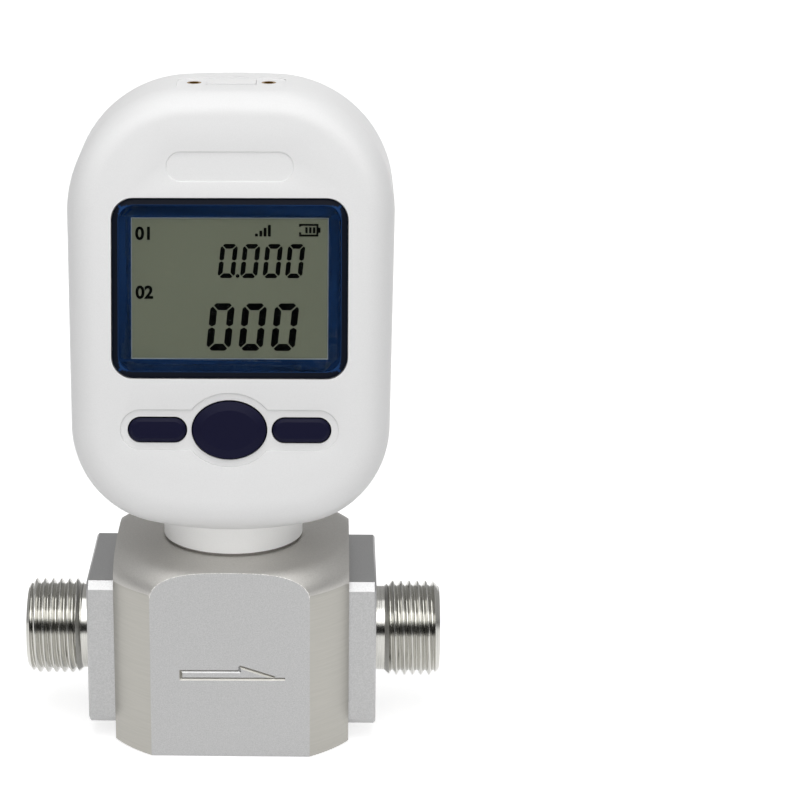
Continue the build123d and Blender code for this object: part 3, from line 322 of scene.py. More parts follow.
class CadLook(Enum):
    """Finish of each CAD node that stays in view or inside."""

    FLOW_BODY = ("flow_body", BLASTED_ALUMINIUM)
    INLET = ("inlet_fitting", TURNED_STEEL)
    OUTLET = ("outlet_fitting", TURNED_STEEL)
    FITTING_SEALS = ("fitting_o_rings", BLACK_RUBBER)
    FITTING_SCREWS = ("fitting_screws", SCREW_STEEL)
    STRAIGHTENER = ("flow_straightener", GREY_PLASTIC)
    SCREENS = ("flow_screens", SCREW_STEEL)
    CARRIER = ("sensor_carrier", GREY_PLASTIC)
    CARRIER_SEAL = ("carrier_o_ring", BLACK_RUBBER)
    CARRIER_SCREWS = ("carrier_screws", SCREW_STEEL)
    SENSOR_BOARD = ("sensor_board", GREEN_BOARD)
    SENSOR_CHIP = ("sensor_chip", SILICON)
    CABLE = ("sensor_cable", POLYIMIDE)
    GASKET = ("neck_gasket", GREY_SILICONE)
    NECK = ("neck_post", NECK_ABS_PAINTED_LIGHT)
    NECK_SCREWS = ("neck_screws", SCREW_STEEL)
    COLLAR_SCREWS = ("collar_screws", SCREW_STEEL)
    FRONT_SHELL = ("front_shell", WHITE_ABS)
    REAR_SHELL = ("rear_shell", WHITE_ABS)
    SHELL_SEAL = ("shell_seal", BLACK_RUBBER)
    SHELL_SCREWS = ("shell_screws", SCREW_STEEL)
    BEZEL = ("display_bezel", NAVY_ACRYLIC)
    WINDOW = ("display_window", CLEAR_ACRYLIC)
    PANEL = ("lcd_panel", DISPLAY_FILM)
    BACKLIGHT = ("backlight", LIGHT_GUIDE)
    BOARD = ("main_board", GREEN_BOARD)
    BOARD_SCREWS = ("board_screws", SCREW_STEEL)
    SWITCHES = ("key_switches", BLACK_PLASTIC)
    LEFT_KEY = ("left_button", NAVY_KEYS)
    CENTRE_KEY = ("centre_button", NAVY_KEYS)
    RIGHT_KEY = ("right_button", NAVY_KEYS)
    SOCKET = ("data_socket", BLACK_PLASTIC)
    CAP = ("dust_cap", WHITE_SILICONE)
    INSERTS = ("port_inserts", BRASS)
    BATTERY = ("battery_pack", BLUE_SLEEVE)
    DOOR = ("battery_door", WHITE_ABS)
    DOOR_SCREWS = ("door_screws", SCREW_STEEL)
    RADIO = ("radio_module", SCREW_STEEL)
    ANTENNA = ("antenna", POLYIMIDE)

    def dress(self) -> None:
        """Give the node its finish."""
        node, finish = self.value
        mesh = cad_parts[node].data
        mesh.materials.clear()
        mesh.materials.append(finish.make())


def only(*pieces: bpy.types.Object) -> None:
    """Select these objects alone, the first one active.

    Args:
        *pieces: the objects.
    """
    bpy.ops.object.select_all(action="DESELECT")
    for piece in pieces:
        piece.select_set(True)
    bpy.context.view_layer.objects.active = pieces[0]


def edit(piece: bpy.types.Object) -> None:
    """Go into edit mode on one object with all of it selected.

    Args:
        piece: the object.
    """
    only(piece)
    bpy.ops.object.mode_set(mode="EDIT")
    bpy.ops.mesh.select_all(action="SELECT")


def done() -> None:
    """Leave edit mode."""
    bpy.ops.object.mode_set(mode="OBJECT")


def copy_of(node: str, name: str) -> bpy.types.Object:
    """Copy a CAD node's mesh into a new object with its doubles merged.

    Args:
        node: the CAD node.
        name: the new piece's name.

    Returns:
        The piece, at the origin as the node is.
    """
    piece = bpy.data.objects.new(name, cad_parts[node].data.copy())
    bpy.context.scene.collection.objects.link(piece)
    edit(piece)
    bpy.ops.mesh.remove_doubles(threshold=MERGE_MM * MM)
    bpy.ops.mesh.customdata_custom_splitnormals_clear()
    bpy.ops.mesh.dissolve_limited(angle_limit=FLAT_ANGLE)
    done()
    return piece


def outline(name: str, points: Sequence[Point]) -> bpy.types.Object:
    """Draw a closed flat outline point by point and fill it.

    Args:
        name: the new object's name.
        points: the corners in millimetres.

    Returns:
        The flat face, in edit mode no more.
    """
    bpy.ops.object.select_all(action="DESELECT")
    bpy.ops.mesh.primitive_plane_add(size=MM)
    piece = bpy.context.object
    piece.name = name
    edit(piece)
    bpy.ops.mesh.merge(type="CENTER")
    bpy.ops.transform.translate(value=Vector(points[0]) * MM)
    for before, after in zip(points, points[1:]):
        step = (Vector(after) - Vector(before)) * MM
        bpy.ops.mesh.extrude_region_move(TRANSFORM_OT_translate={"value": step})
    bpy.ops.mesh.select_all(action="SELECT")
    bpy.ops.mesh.edge_face_add()
    done()
    return piece


def thicken(piece: bpy.types.Object, depth_mm: float) -> None:
    """Extrude a flat face along Z into a closed plate.

    Args:
        piece: the flat face.
        depth_mm: the plate's thickness.
    """
    edit(piece)
    bpy.ops.mesh.extrude_region_move(TRANSFORM_OT_translate={"value": (0, 0, depth_mm * MM)})
    bpy.ops.mesh.select_all(action="SELECT")
    bpy.ops.mesh.normals_make_consistent(inside=False)
    done()


def join(name: str, parts: Sequence[bpy.types.Object]) -> bpy.types.Object:
    """Join objects into one piece.

    Args:
        name: the piece's name.
        parts: the objects.

    Returns:
        The piece.
    """
    only(*parts)
    bpy.ops.object.join()
    parts[0].name = name
    return parts[0]


def settle(piece: bpy.types.Object) -> None:
    """Put an object's place, turn and scale into its mesh."""
    only(piece)
    bpy.ops.object.transform_apply(location=True, rotation=True, scale=True)


def use(piece: bpy.types.Object, kind: str, **settings: object) -> None:
    """Add one modifier and apply it.

    Args:
        piece: the object.
        kind: the modifier's type.
        **settings: its attributes.
    """
    only(piece)
    modifier = piece.modifiers.new(kind.lower(), kind)
    for key, value in settings.items():
        setattr(modifier, key, value)
    bpy.ops.object.modifier_apply(modifier=modifier.name)


def carve(piece: bpy.types.Object, tool: bpy.types.Object) -> None:
    """Cut a tool out of a piece and remove the tool."""
    use(piece, "BOOLEAN", operation="DIFFERENCE", solver="EXACT", object=tool)
    bpy.data.objects.remove(tool)


def soften(
    piece: bpy.types.Object, wanted: Callable[[Vector], bool], width_mm: float, segments: int
) -> None:
    """Round the sharp edges whose two ends pass a test.

    Args:
        piece: the object.
        wanted: the test, for a point in millimetres.
        width_mm: width of the rounding.
        segments: its steps.
    """
    edit(piece)
    bpy.ops.mesh.select_mode(type="EDGE")
    bpy.ops.mesh.select_all(action="DESELECT")
    bpy.ops.mesh.edges_select_sharp(sharpness=SHARP_ANGLE)
    done()
    corners = piece.data.vertices
    chosen = [
        edge.select and all(wanted(corners[i].co / MM) for i in edge.vertices)
        for edge in piece.data.edges
    ]
    for group in (corners, piece.data.polygons):
        group.foreach_set("select", [False] * len(group))
    piece.data.edges.foreach_set("select", chosen)
    bpy.ops.object.mode_set(mode="EDIT")
    bpy.ops.mesh.bevel(offset=width_mm * MM, segments=segments, affect="EDGES")
    bpy.ops.mesh.select_mode(type="VERT")
    done()


def smooth(piece: bpy.types.Object, degrees: float) -> None:
    """Shade smooth, sharp above the angle."""
    only(piece)
    bpy.ops.object.shade_smooth_by_angle(angle=math.radians(degrees))


def paint(
    piece: bpy.types.Object, finishes: Sequence[Finish], choose: Callable[[Vector, Vector], int]
) -> None:
    """Give each face one of several finishes.

    Args:
        piece: the object.
        finishes: the finishes, in slot order.
        choose: the slot for a face's centre in millimetres and its normal.
    """
    piece.data.materials.clear()
    for finish in finishes:
        piece.data.materials.append(finish.make())
    for face in piece.data.polygons:
        face.material_index = choose(face.center / MM, face.normal)


@dataclass(frozen=True)
class Face:
    """The head's front face, which leans back.

    Args:
        middle: the display's centre.
        lean: its lean in degrees.
    """

    middle: Point = (0.0, -13.5, 101.3)
    lean: float = 12.0

    @property
    def out(self) -> Vector:
        """The direction out of the face."""
        turn = math.radians(self.lean)
        return Vector((0, -math.cos(turn), math.sin(turn)))

    def lay(self, piece: bpy.types.Object, depth_mm: float) -> None:
        """Lay an object drawn in the XY plane on the face.

        Args:
            piece: the object.
            depth_mm: how deep it lies below the face.
        """
        piece.rotation_euler = (math.radians(90 - self.lean), 0, 0)
        piece.location = (Vector(self.middle) - self.out * depth_mm) * MM
        settle(piece)

    def flat(self, point: Vector) -> tuple[float, float, float]:
        """Give a point's place on the face, in millimetres.

        Args:
            point: the point in millimetres.

        Returns:
            Its place across, up and below the face.
        """
        away = point - Vector(self.middle)
        up = Vector((0, self.out.z, -self.out.y))
        return away.x, away.dot(up), -away.dot(self.out)


@dataclass
class FlowBlock:
    """The aluminium block with its engraved flow arrow.

    Args:
        half: half the width across the flats.
        top: height of its top face.
        turn_r: radius of the turned corners.
        round_r: radius of the rounding between crown and corners.
        groove_r: half the width of the arrow's groove.
        rim: width of the flat band painted as the edge's highlight.
        crown_z: where the crown's rounding starts to show.
        strokes: the arrow's lines on the front flat, as x0, z0, x1, z1.
    """

    half: float = 25.4
    top: float = 42.4
    turn_r: float = 30.6
    round_r: float = 6.0
    groove_r: float = 0.33
    rim: float = 0.11
    crown_z: float = 36.0
    strokes: tuple[tuple[float, float, float, float], ...] = (
        (-10.45, 19.83, 1.95, 19.88),
        (-10.52, 19.97, -10.5, 18.06),
        (-10.58, 18.1, 11.6, 18.21),
        (2.03, 19.93, 2.08, 20.85),
        (2.14, 20.93, 9.35, 18.57),
    )

    def build(self) -> bpy.types.Object:
        """Cut the arrow into a copy of the block.

        Returns:
            The piece.
        """
        block = copy_of("flow_body", "block")
        self.inset_glint_rim(block)
        apart = 0.007
        for turn, line in enumerate(self.strokes):
            # no two grooves share an edge, so that the cuts stay clean
            carve(block, self.stroke(*line, self.groove_r + apart * turn))
        smooth(block, 28)
        return block

    def inset_glint_rim(self, block: bpy.types.Object) -> None:
        """Run a narrow rim round the front and the back flat, for the painted highlight along their
        edge.

        Args:
            block: the piece.
        """
        edit(block)
        bpy.ops.mesh.select_mode(type="FACE")
        bpy.ops.mesh.select_all(action="DESELECT")
        done()
        for face in block.data.polygons:
            face.select = self.on_flat(face.center / MM, face.normal)
        bpy.ops.object.mode_set(mode="EDIT")
        bpy.ops.mesh.inset(thickness=self.rim * MM, depth=0.0)
        bpy.ops.mesh.select_mode(type="VERT")
        done()

    def stroke(
        self, x0: float, z0: float, x1: float, z1: float, reach: float
    ) -> bpy.types.Object:
        """Make the square bar that cuts one line of the arrow as a V groove.

        Args:
            x0, z0, x1, z1: the line's ends on the front flat.
            reach: half the groove's width, and its depth.

        Returns:
            The bar, one edge pointing into the block.
        """
        start, end = Vector((x0, -self.half, z0)), Vector((x1, -self.half, z1))
        along = (end - start).normalized()
        length = (end - start).length + reach
        bpy.ops.object.select_all(action="DESELECT")
        bpy.ops.mesh.primitive_cylinder_add(vertices=4, radius=reach * MM, depth=length * MM)
        bar = bpy.context.object
        inward = Vector((0, 1, 0))
        turn = Matrix((inward.cross(along), inward, along)).transposed().to_4x4()
        bar.matrix_world = Matrix.Translation((start + end) / 2 * MM) @ turn
        return bar

    def on_flat(self, centre: Vector, normal: Vector) -> bool:
        """Tell whether a face lies in the front or the back flat."""
        return abs(normal.y) > SQUARE and abs(centre.y) > self.half - TOUCH_MM

    def from_crown(self, point: Vector) -> float:
        """Give how far below the crown's rounding a point lies."""
        out = math.hypot(point.x, point.y) - (self.turn_r - self.round_r)
        return self.round_r - math.hypot(out, point.z - (self.top - self.round_r))

    def dress(self, block: bpy.types.Object) -> None:
        """Blasted flats, turned corners with a painted warm reflection, a crown painted paler as
        painted light and a painted highlight along the flats' top edge, in the flow body's place.

        Args:
            block: the piece.
        """
        finishes = (BLASTED_ALUMINIUM, TURNED_ALUMINIUM, CROWN_PAINTED_PALE, GLINT_PAINTED_ALUMINIUM)

        def side(centre: Vector, normal: Vector) -> int:
            """Choose a face's finish."""
            high, faces_up = centre.z > self.crown_z, normal.z > 0.1
            # upward faces high on the block take the paler crown colour: painted light
            if high and faces_up:
                return finishes.index(CROWN_PAINTED_PALE)
            # the inset band along the flats' edge next to the crown takes the painted highlight
            if high and self.on_flat(centre, normal) and self.from_crown(centre) < 2 * self.rim:
                return finishes.index(GLINT_PAINTED_ALUMINIUM)
            outside = math.hypot(centre.x, centre.y) > self.half + 0.1
            if outside and max(abs(normal.x), abs(normal.y)) <= SQUARE:
                return finishes.index(TURNED_ALUMINIUM)
            return finishes.index(BLASTED_ALUMINIUM)

        paint(block, finishes, side)
        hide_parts("flow_body")
        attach(block, "meter")


@dataclass
class ThreadedEnd:
    """A flanged end with its outside pipe thread cut.

    Args:
        node: the CAD node.
        name: the piece's name.
        first_x: where the groove passes the top first.
        turns: turns of the groove.
        axis_z: height of the flow axis.
        crest_r: outside radius of the thread.
        depth: of the thread.
        pitch: of the thread.
        open_w: half width of the groove at the crest.
        root_w: half width at the root.
        broken: how far in and down the crest's corners are broken.
        flange_x: where the flange's outer face lies.
        spigot: radius and end of the turned spigot behind the flange.
        steps: of one turn of the groove.
    """

    node: str
    name: str
    first_x: float
    turns: float
    axis_z: float = 20.0
    crest_r: float = 10.4775
    depth: float = 1.13
    pitch: float = 1.814
    open_w: float = 0.86
    root_w: float = 0.06
    broken: tuple[float, float] = (0.12, 0.09)
    flange_x: float = 31.35
    spigot: tuple[float, float] = (9.6, 31.0)
    steps: int = 96

    def build(self) -> bpy.types.Object:
        """Cut the thread into a copy of the node.

        Returns:
            The piece.
        """
        end = copy_of(self.node, self.name)
        carve(end, self.groove())
        smooth(end, 42)
        return end

    def groove(self) -> bpy.types.Object:
        """Sweep the V section along the helix into a closed cutting tool.

        Returns:
            The tool.
        """
        high, crest, root = self.crest_r + 0.5, self.crest_r + 0.02, self.crest_r - self.depth
        shoulder = self.open_w - self.broken[0], crest - self.broken[1]
        right = [(self.root_w, root), shoulder, (self.open_w, crest), (self.open_w, high)]
        section = [(-x, r) for x, r in reversed(right)] + right
        tool = outline("groove", [(x, 0.0, r) for x, r in section])
        edit(tool)
        bpy.ops.mesh.delete(type="ONLY_FACE")
        done()
        steps = int(self.steps * self.turns)
        use(
            tool,
            "SCREW",
            axis="X",
            angle=math.tau * self.turns,
            screw_offset=self.pitch * MM * self.turns,
            steps=steps,
            render_steps=steps,
        )
        edit(tool)
        bpy.ops.mesh.fill_holes(sides=8)
        bpy.ops.mesh.select_all(action="SELECT")
        bpy.ops.mesh.normals_make_consistent(inside=False)
        done()
        tool.location = Vector((self.first_x, 0, self.axis_z)) * MM
        settle(tool)
        return tool

    def dress(self, end: bpy.types.Object) -> None:
        """Blasted flange, bright turned nipple.

        Args:
            end: the piece.
        """
        finishes = (BLASTED_ALUMINIUM, TURNED_STEEL)

        def part(centre: Vector, normal: Vector) -> int:
            """Choose a face's finish."""
            reach, out = math.hypot(centre.y, centre.z - self.axis_z), abs(centre.x)
            turned = out > self.flange_x or (reach < self.spigot[0] and out < self.spigot[1])
            return finishes.index(TURNED_STEEL if turned else BLASTED_ALUMINIUM)

        paint(end, finishes, part)
        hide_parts(self.node)
        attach(end, "meter")


@dataclass
class HeadShell:
    """The front shell with the edges of the name recess and of the key dish rounded.

    Args:
        face: the head's front face.
        recesses: half width, lowest and highest place of each on the face.
        edge_r: width of the rounding.
    """

    face: Face
    recesses: tuple[tuple[float, float, float], ...] = ((13.6, 22.0, 29.0), (23.5, -38.0, -21.5))
    edge_r: float = 0.22

    def build(self) -> bpy.types.Object:
        """Copy the shell and round the edges.

        Returns:
            The piece.
        """

        def on_rim(point: Vector) -> bool:
            """Tell whether a point lies on a recess's edge."""
            across, up, depth = self.face.flat(point)
            return abs(depth) < 2 * TOUCH_MM and any(
                abs(across) < half and low < up < high for half, low, high in self.recesses
            )

        shell = copy_of("front_shell", "head_shell")
        soften(shell, on_rim, self.edge_r, 3)
        smooth(shell, 30)
        return shell

    def dress(self, shell: bpy.types.Object) -> None:
        """White casing, in the front shell's place.

        Args:
            shell: the piece.
        """
        paint(shell, (WHITE_ABS,), lambda centre, normal: 0)
        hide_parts("front_shell")
        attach(shell, "meter")


@dataclass
class SocketScrews:
    """The screws at the back, with hexagon sockets and softened rims.

    Args:
        node: the CAD node.
        name: the piece's name.
        spots: x and z of each axis.
        head_y: where the heads end.
        key_r: of the socket, over its corners.
        key_deep: depth of the socket.
        rim: width of the rounding.
    """

    node: str
    name: str
    spots: tuple[tuple[float, float], ...]
    head_y: float
    key_r: float
    key_deep: float
    rim: float = 0.18

    def build(self) -> bpy.types.Object:
        """Soften the rims, then cut the sockets.

        Returns:
            The piece.
        """
        screws = copy_of(self.node, self.name)
        soften(screws, lambda point: point.y > self.head_y - TOUCH_MM, self.rim, 3)
        for x, z in self.spots:
            bpy.ops.object.select_all(action="DESELECT")
            bpy.ops.mesh.primitive_cylinder_add(
                vertices=6,
                radius=self.key_r * MM,
                depth=2 * self.key_deep * MM,
                location=Vector((x, self.head_y, z)) * MM,
                rotation=(math.pi / 2, 0, 0),
            )
            carve(screws, bpy.context.object)
        smooth(screws, 30)
        return screws

    def dress(self, screws: bpy.types.Object) -> None:
        """Screw steel, in the node's place.

        Args:
            screws: the piece.
        """
        paint(screws, (SCREW_STEEL,), lambda centre, normal: 0)
        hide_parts(self.node)
        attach(screws, "meter")


@dataclass
class DisplayFrame:
    """The navy frame around the display, painted near black along its bevelled rim as painted
    shade.

    Args:
        face: the head's front face.
        sight: half the opening's width and height, with its walls.
        ledge: depth of the ledge behind the opening's edge.
        bevel: width of the opening's bevel.
        window: half the window's width and height, with its groove.
    """

    face: Face
    sight: tuple[float, float] = (20.55, 14.7)
    ledge: float = 1.5
    bevel: float = 0.18
    window: tuple[float, float] = (23.25, 17.35)

    def inside(self, point: Vector, reach: tuple[float, float], more: float = 0.0) -> bool:
        """Tell whether a point lies within a half width and height, or a little more."""
        across, up, _ = self.face.flat(point)
        return abs(across) < reach[0] + more and abs(up) < reach[1] + more

    def build(self) -> bpy.types.Object:
        """Copy the frame and bevel the front edge of its opening.

        Returns:
            The piece.
        """

        def at_opening(point: Vector) -> bool:
            """Tell whether a point lies at the opening's front edge."""
            return self.inside(point, self.sight) and self.face.flat(point)[2] < self.ledge

        rim = copy_of("display_bezel", "display_frame")
        soften(rim, at_opening, self.bevel, 1)
        smooth(rim, 30)
        return rim

    def dress(self, rim: bpy.types.Object) -> None:
        """Navy where the window covers it, near black outside as painted shade, light grey on the
        opening's bevel as a painted highlight.

        Args:
            rim: the piece.
        """
        finishes = (NAVY_ACRYLIC, RIM_PAINTED_SHADE, BEVEL_PAINTED_HIGHLIGHT)

        def zone(centre: Vector, normal: Vector) -> int:
            """Choose a face's finish."""
            tilted = normal.dot(self.face.out) < 0.95
            # the tilted bevel faces at the opening take the light grey: a painted highlight
            if tilted and self.inside(centre, self.sight, 0.2):
                return finishes.index(BEVEL_PAINTED_HIGHLIGHT)
            # outside the window the frame takes the near black: painted shade
            return finishes.index(NAVY_ACRYLIC if self.inside(centre, self.window) else RIM_PAINTED_SHADE)

        paint(rim, finishes, zone)
        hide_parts("display_bezel")
        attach(rim, "meter")


@dataclass(frozen=True)
class Digit:
    """A seven-segment zero.

    Args:
        width: of the upright digit.
        height: of the digit.
        bar: width of a segment.
        gap: between segments.
        slant: how far it leans, as run over rise.
    """

    width: float
    height: float
    bar: float
    gap: float = 0.16
    slant: float = 0.105

    def segments(self) -> list[list[tuple[float, float]]]:
        """Give the outlines of the six lit segments before the lean.

        Returns:
            Each segment's corners.
        """
        w, h, t, g = self.width, self.height, self.bar, self.gap / 2
        cut, tip, half = 0.8 * t, 0.3 * t, h / 2
        top = [
            (cut, h),
            (w - cut, h),
            (w - cut / 2 - g, h - cut / 2 + g),
            (w - t - 2 * g, h - t),
            (t + 2 * g, h - t),
            (cut / 2 + g, h - cut / 2 + g),
        ]
        side = [
            (w - cut / 2 + g, h - cut / 2 - g),
            (w, h - cut),
            (w, half + tip + g),
            (w - 0.5 * t, half + g),
            (w - t, half + tip + g),
            (w - t, h - t - 2 * g),
        ]

        def flip(points: list, x: bool, y: bool) -> list:
            """Mirror an outline across the digit, keeping its way round."""
            turned = [(w - px if x else px, h - py if y else py) for px, py in points]
            return turned if x == y else turned[::-1]

        return [
            top,
            flip(top, False, True),
            side,
            flip(side, True, False),
            flip(side, False, True),
            flip(side, True, True),
        ]

    def build(self, left: float, low: float) -> list[bpy.types.Object]:
        """Draw the digit with its lower left corner at the given place.

        Args:
            left: across the face.
            low: up the face.

        Returns:
            The flat segments.
        """
        return [
            outline("segment", [(left + x + y * self.slant, low + y, 0.0) for x, y in shape])
            for shape in self.segments()
        ]


@dataclass(frozen=True)
class Row:
    """A row of zeros.

    Args:
        digit: the zero.
        count: how many.
        left: across the face, of the first.
        step: from one to the next.
        low: up the face.
    """

    digit: Digit
    count: int
    left: float
    step: float
    low: float

    def build(self) -> list[bpy.types.Object]:
        """Draw the flat segments of all its digits.

        Returns:
            The segments.
        """
        marks = []
        for place in range(self.count):
            marks += self.digit.build(self.left + self.step * place, self.low)
        return marks


@dataclass
class Readout:
    """What the display shows: two rows of plain numbers, row numbers, signal bars, battery.

    Args:
        face: the head's front face.
        depth: of the ink below the face.
        film: thickness of the ink.
        rows: the two rows.
        point: place and radius of the decimal point.
        labels: each row's number with its place.
        label_h: height of the row numbers.
        bold: how much wider the row numbers are drawn on each side.
    """

    face: Face
    depth: float = 1.8
    film: float = 0.04
    rows: tuple[Row, ...] = (
        Row(Digit(3.6, 7.13, 0.98), 4, -2.57, 4.7, 2.19),
        Row(Digit(5.1, 9.98, 1.46, gap=0.2), 3, -4.97, 6.74, -13.07),
    )
    point: tuple[float, float, float] = (1.66, 2.62, 0.4)
    labels: tuple[tuple[str, float, float], ...] = (("01", -19.8, 10.25), ("02", -19.75, -2.1))
    label_h: float = 2.7
    bold: float = 0.12

    def build(self) -> bpy.types.Object:
        """Draw every dark mark and lay it on the panel.

        Returns:
            The piece.
        """
        marks = [mark for row in self.rows for mark in row.build()]
        marks += [self.dot(*self.point)]
        marks += self.signal() + self.battery()
        for mark in marks:
            thicken(mark, self.film)
        marks += [self.number(*label) for label in self.labels]
        ink = join("readout", marks)
        self.face.lay(ink, self.depth)
        return ink

    def box(self, x0: float, y0: float, x1: float, y1: float) -> bpy.types.Object:
        """Draw one upright rectangle."""
        return outline("bar", [(x0, y0, 0.0), (x1, y0, 0.0), (x1, y1, 0.0), (x0, y1, 0.0)])

    def dot(self, x: float, y: float, radius: float) -> bpy.types.Object:
        """Draw the decimal point.

        Args:
            x, y: its centre on the face.
            radius: of the point.

        Returns:
            The flat point.
        """
        bpy.ops.object.select_all(action="DESELECT")
        bpy.ops.mesh.primitive_circle_add(
            vertices=20, radius=radius * MM, fill_type="NGON", location=(x * MM, y * MM, 0)
        )
        settle(bpy.context.object)
        return bpy.context.object

    def signal(self) -> list[bpy.types.Object]:
        """Four rising bars for the radio's signal.

        Returns:
            The flat bars.
        """
        left, right, low, high = 5.3, 5.9, 10.9, 11.5
        step, rise = 0.9, 0.6
        return [
            self.box(left + step * turn, low, right + step * turn, high + rise * turn)
            for turn in range(4)
        ]

    def battery(self) -> list[bpy.types.Object]:
        """A cell outline, open at the left, with three bars and its cap.

        Returns:
            The flat marks.
        """
        # left, low, width, height, wall, then the two ends of the wall at the left
        x, y, w, h, t, low, high = 14.5, 10.9, 4.05, 2.65, 0.42, 0.9, 0.6
        line = [
            (x, y + low), (x, y), (x + w, y), (x + w, y + h), (x, y + h), (x, y + h - high),
            (x + t, y + h - high), (x + t, y + h - t), (x + w - t, y + h - t),
            (x + w - t, y + t), (x + t, y + t), (x + t, y + low),
        ]
        cell = outline("cell", [(px, py, 0.0) for px, py in line])
        inset, bar_w, cap_inset = 0.7, 0.5, 0.8
        bars = [
            self.box(x + away, y + inset, x + away + bar_w, y + h - inset)
            for away in (1.3, 2.1, 2.9)
        ]
        return [cell, *bars, self.box(x + w, y + cap_inset, x + w + t, y + h - cap_inset)]

    def number(self, text: str, x: float, y: float) -> bpy.types.Object:
        """Write a plain number and turn it into a thin plate.

        Args:
            text: digits.
            x, y: lower left corner on the face.

        Returns:
            The plate, still flat in the XY plane.
        """
        bpy.ops.object.select_all(action="DESELECT")
        bpy.ops.object.text_add(location=(x * MM, y * MM, 0))
        label = bpy.context.object
        label.data.body = text
        # a digit's height as a share of the text's size
        share = 0.73
        label.data.size = self.label_h / share * MM
        label.data.extrude = self.film / 2 * MM
        label.data.offset = self.bold * MM
        bpy.ops.object.convert(target="MESH")
        label = bpy.context.object
        label.location.z = self.film / 2 * MM
        settle(label)
        edit(label)
        bpy.ops.mesh.remove_doubles(threshold=0.001 * MM)
        done()
        return label

    def dress(self, ink: bpy.types.Object) -> None:
        """Ink finish, riding with the meter.

        Args:
            ink: the piece.
        """
        ink.data.materials.clear()
        ink.data.materials.append(DISPLAY_INK.make())
        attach(ink, "meter")


@dataclass(frozen=True)
class Softbox:
    """One lamp with a flat front.

    Args:
        name: its name.
        spot: its place in metres.
        size: its width and height in metres.
        power: in watts.
        unseen: the kinds of ray that it is hidden from.
        aim: where it points, in metres.
        spread: of its beam in degrees.
    """

    name: str
    spot: Point
    size: tuple[float, float]
    power: float
    unseen: tuple[str, ...] = ()
    aim: Point = (0.0, 0.0, 0.08)
    spread: float = 180.0

    def build(self) -> None:
        """Hang the lamp and point it."""
        light = bpy.data.lights.new(self.name, "AREA")
        light.shape = "RECTANGLE"
        light.size, light.size_y = self.size
        light.spread = math.radians(self.spread)
        light.energy = self.power
        lamp = bpy.data.objects.new(self.name, light)
        bpy.context.scene.collection.objects.link(lamp)
        lamp.location = self.spot
        way = Vector(self.aim) - Vector(self.spot)
        lamp.rotation_mode = "QUATERNION"
        lamp.rotation_quaternion = way.to_track_quat("-Z", "Y")
        for ray in self.unseen:
            setattr(lamp, "visible_" + ray, False)


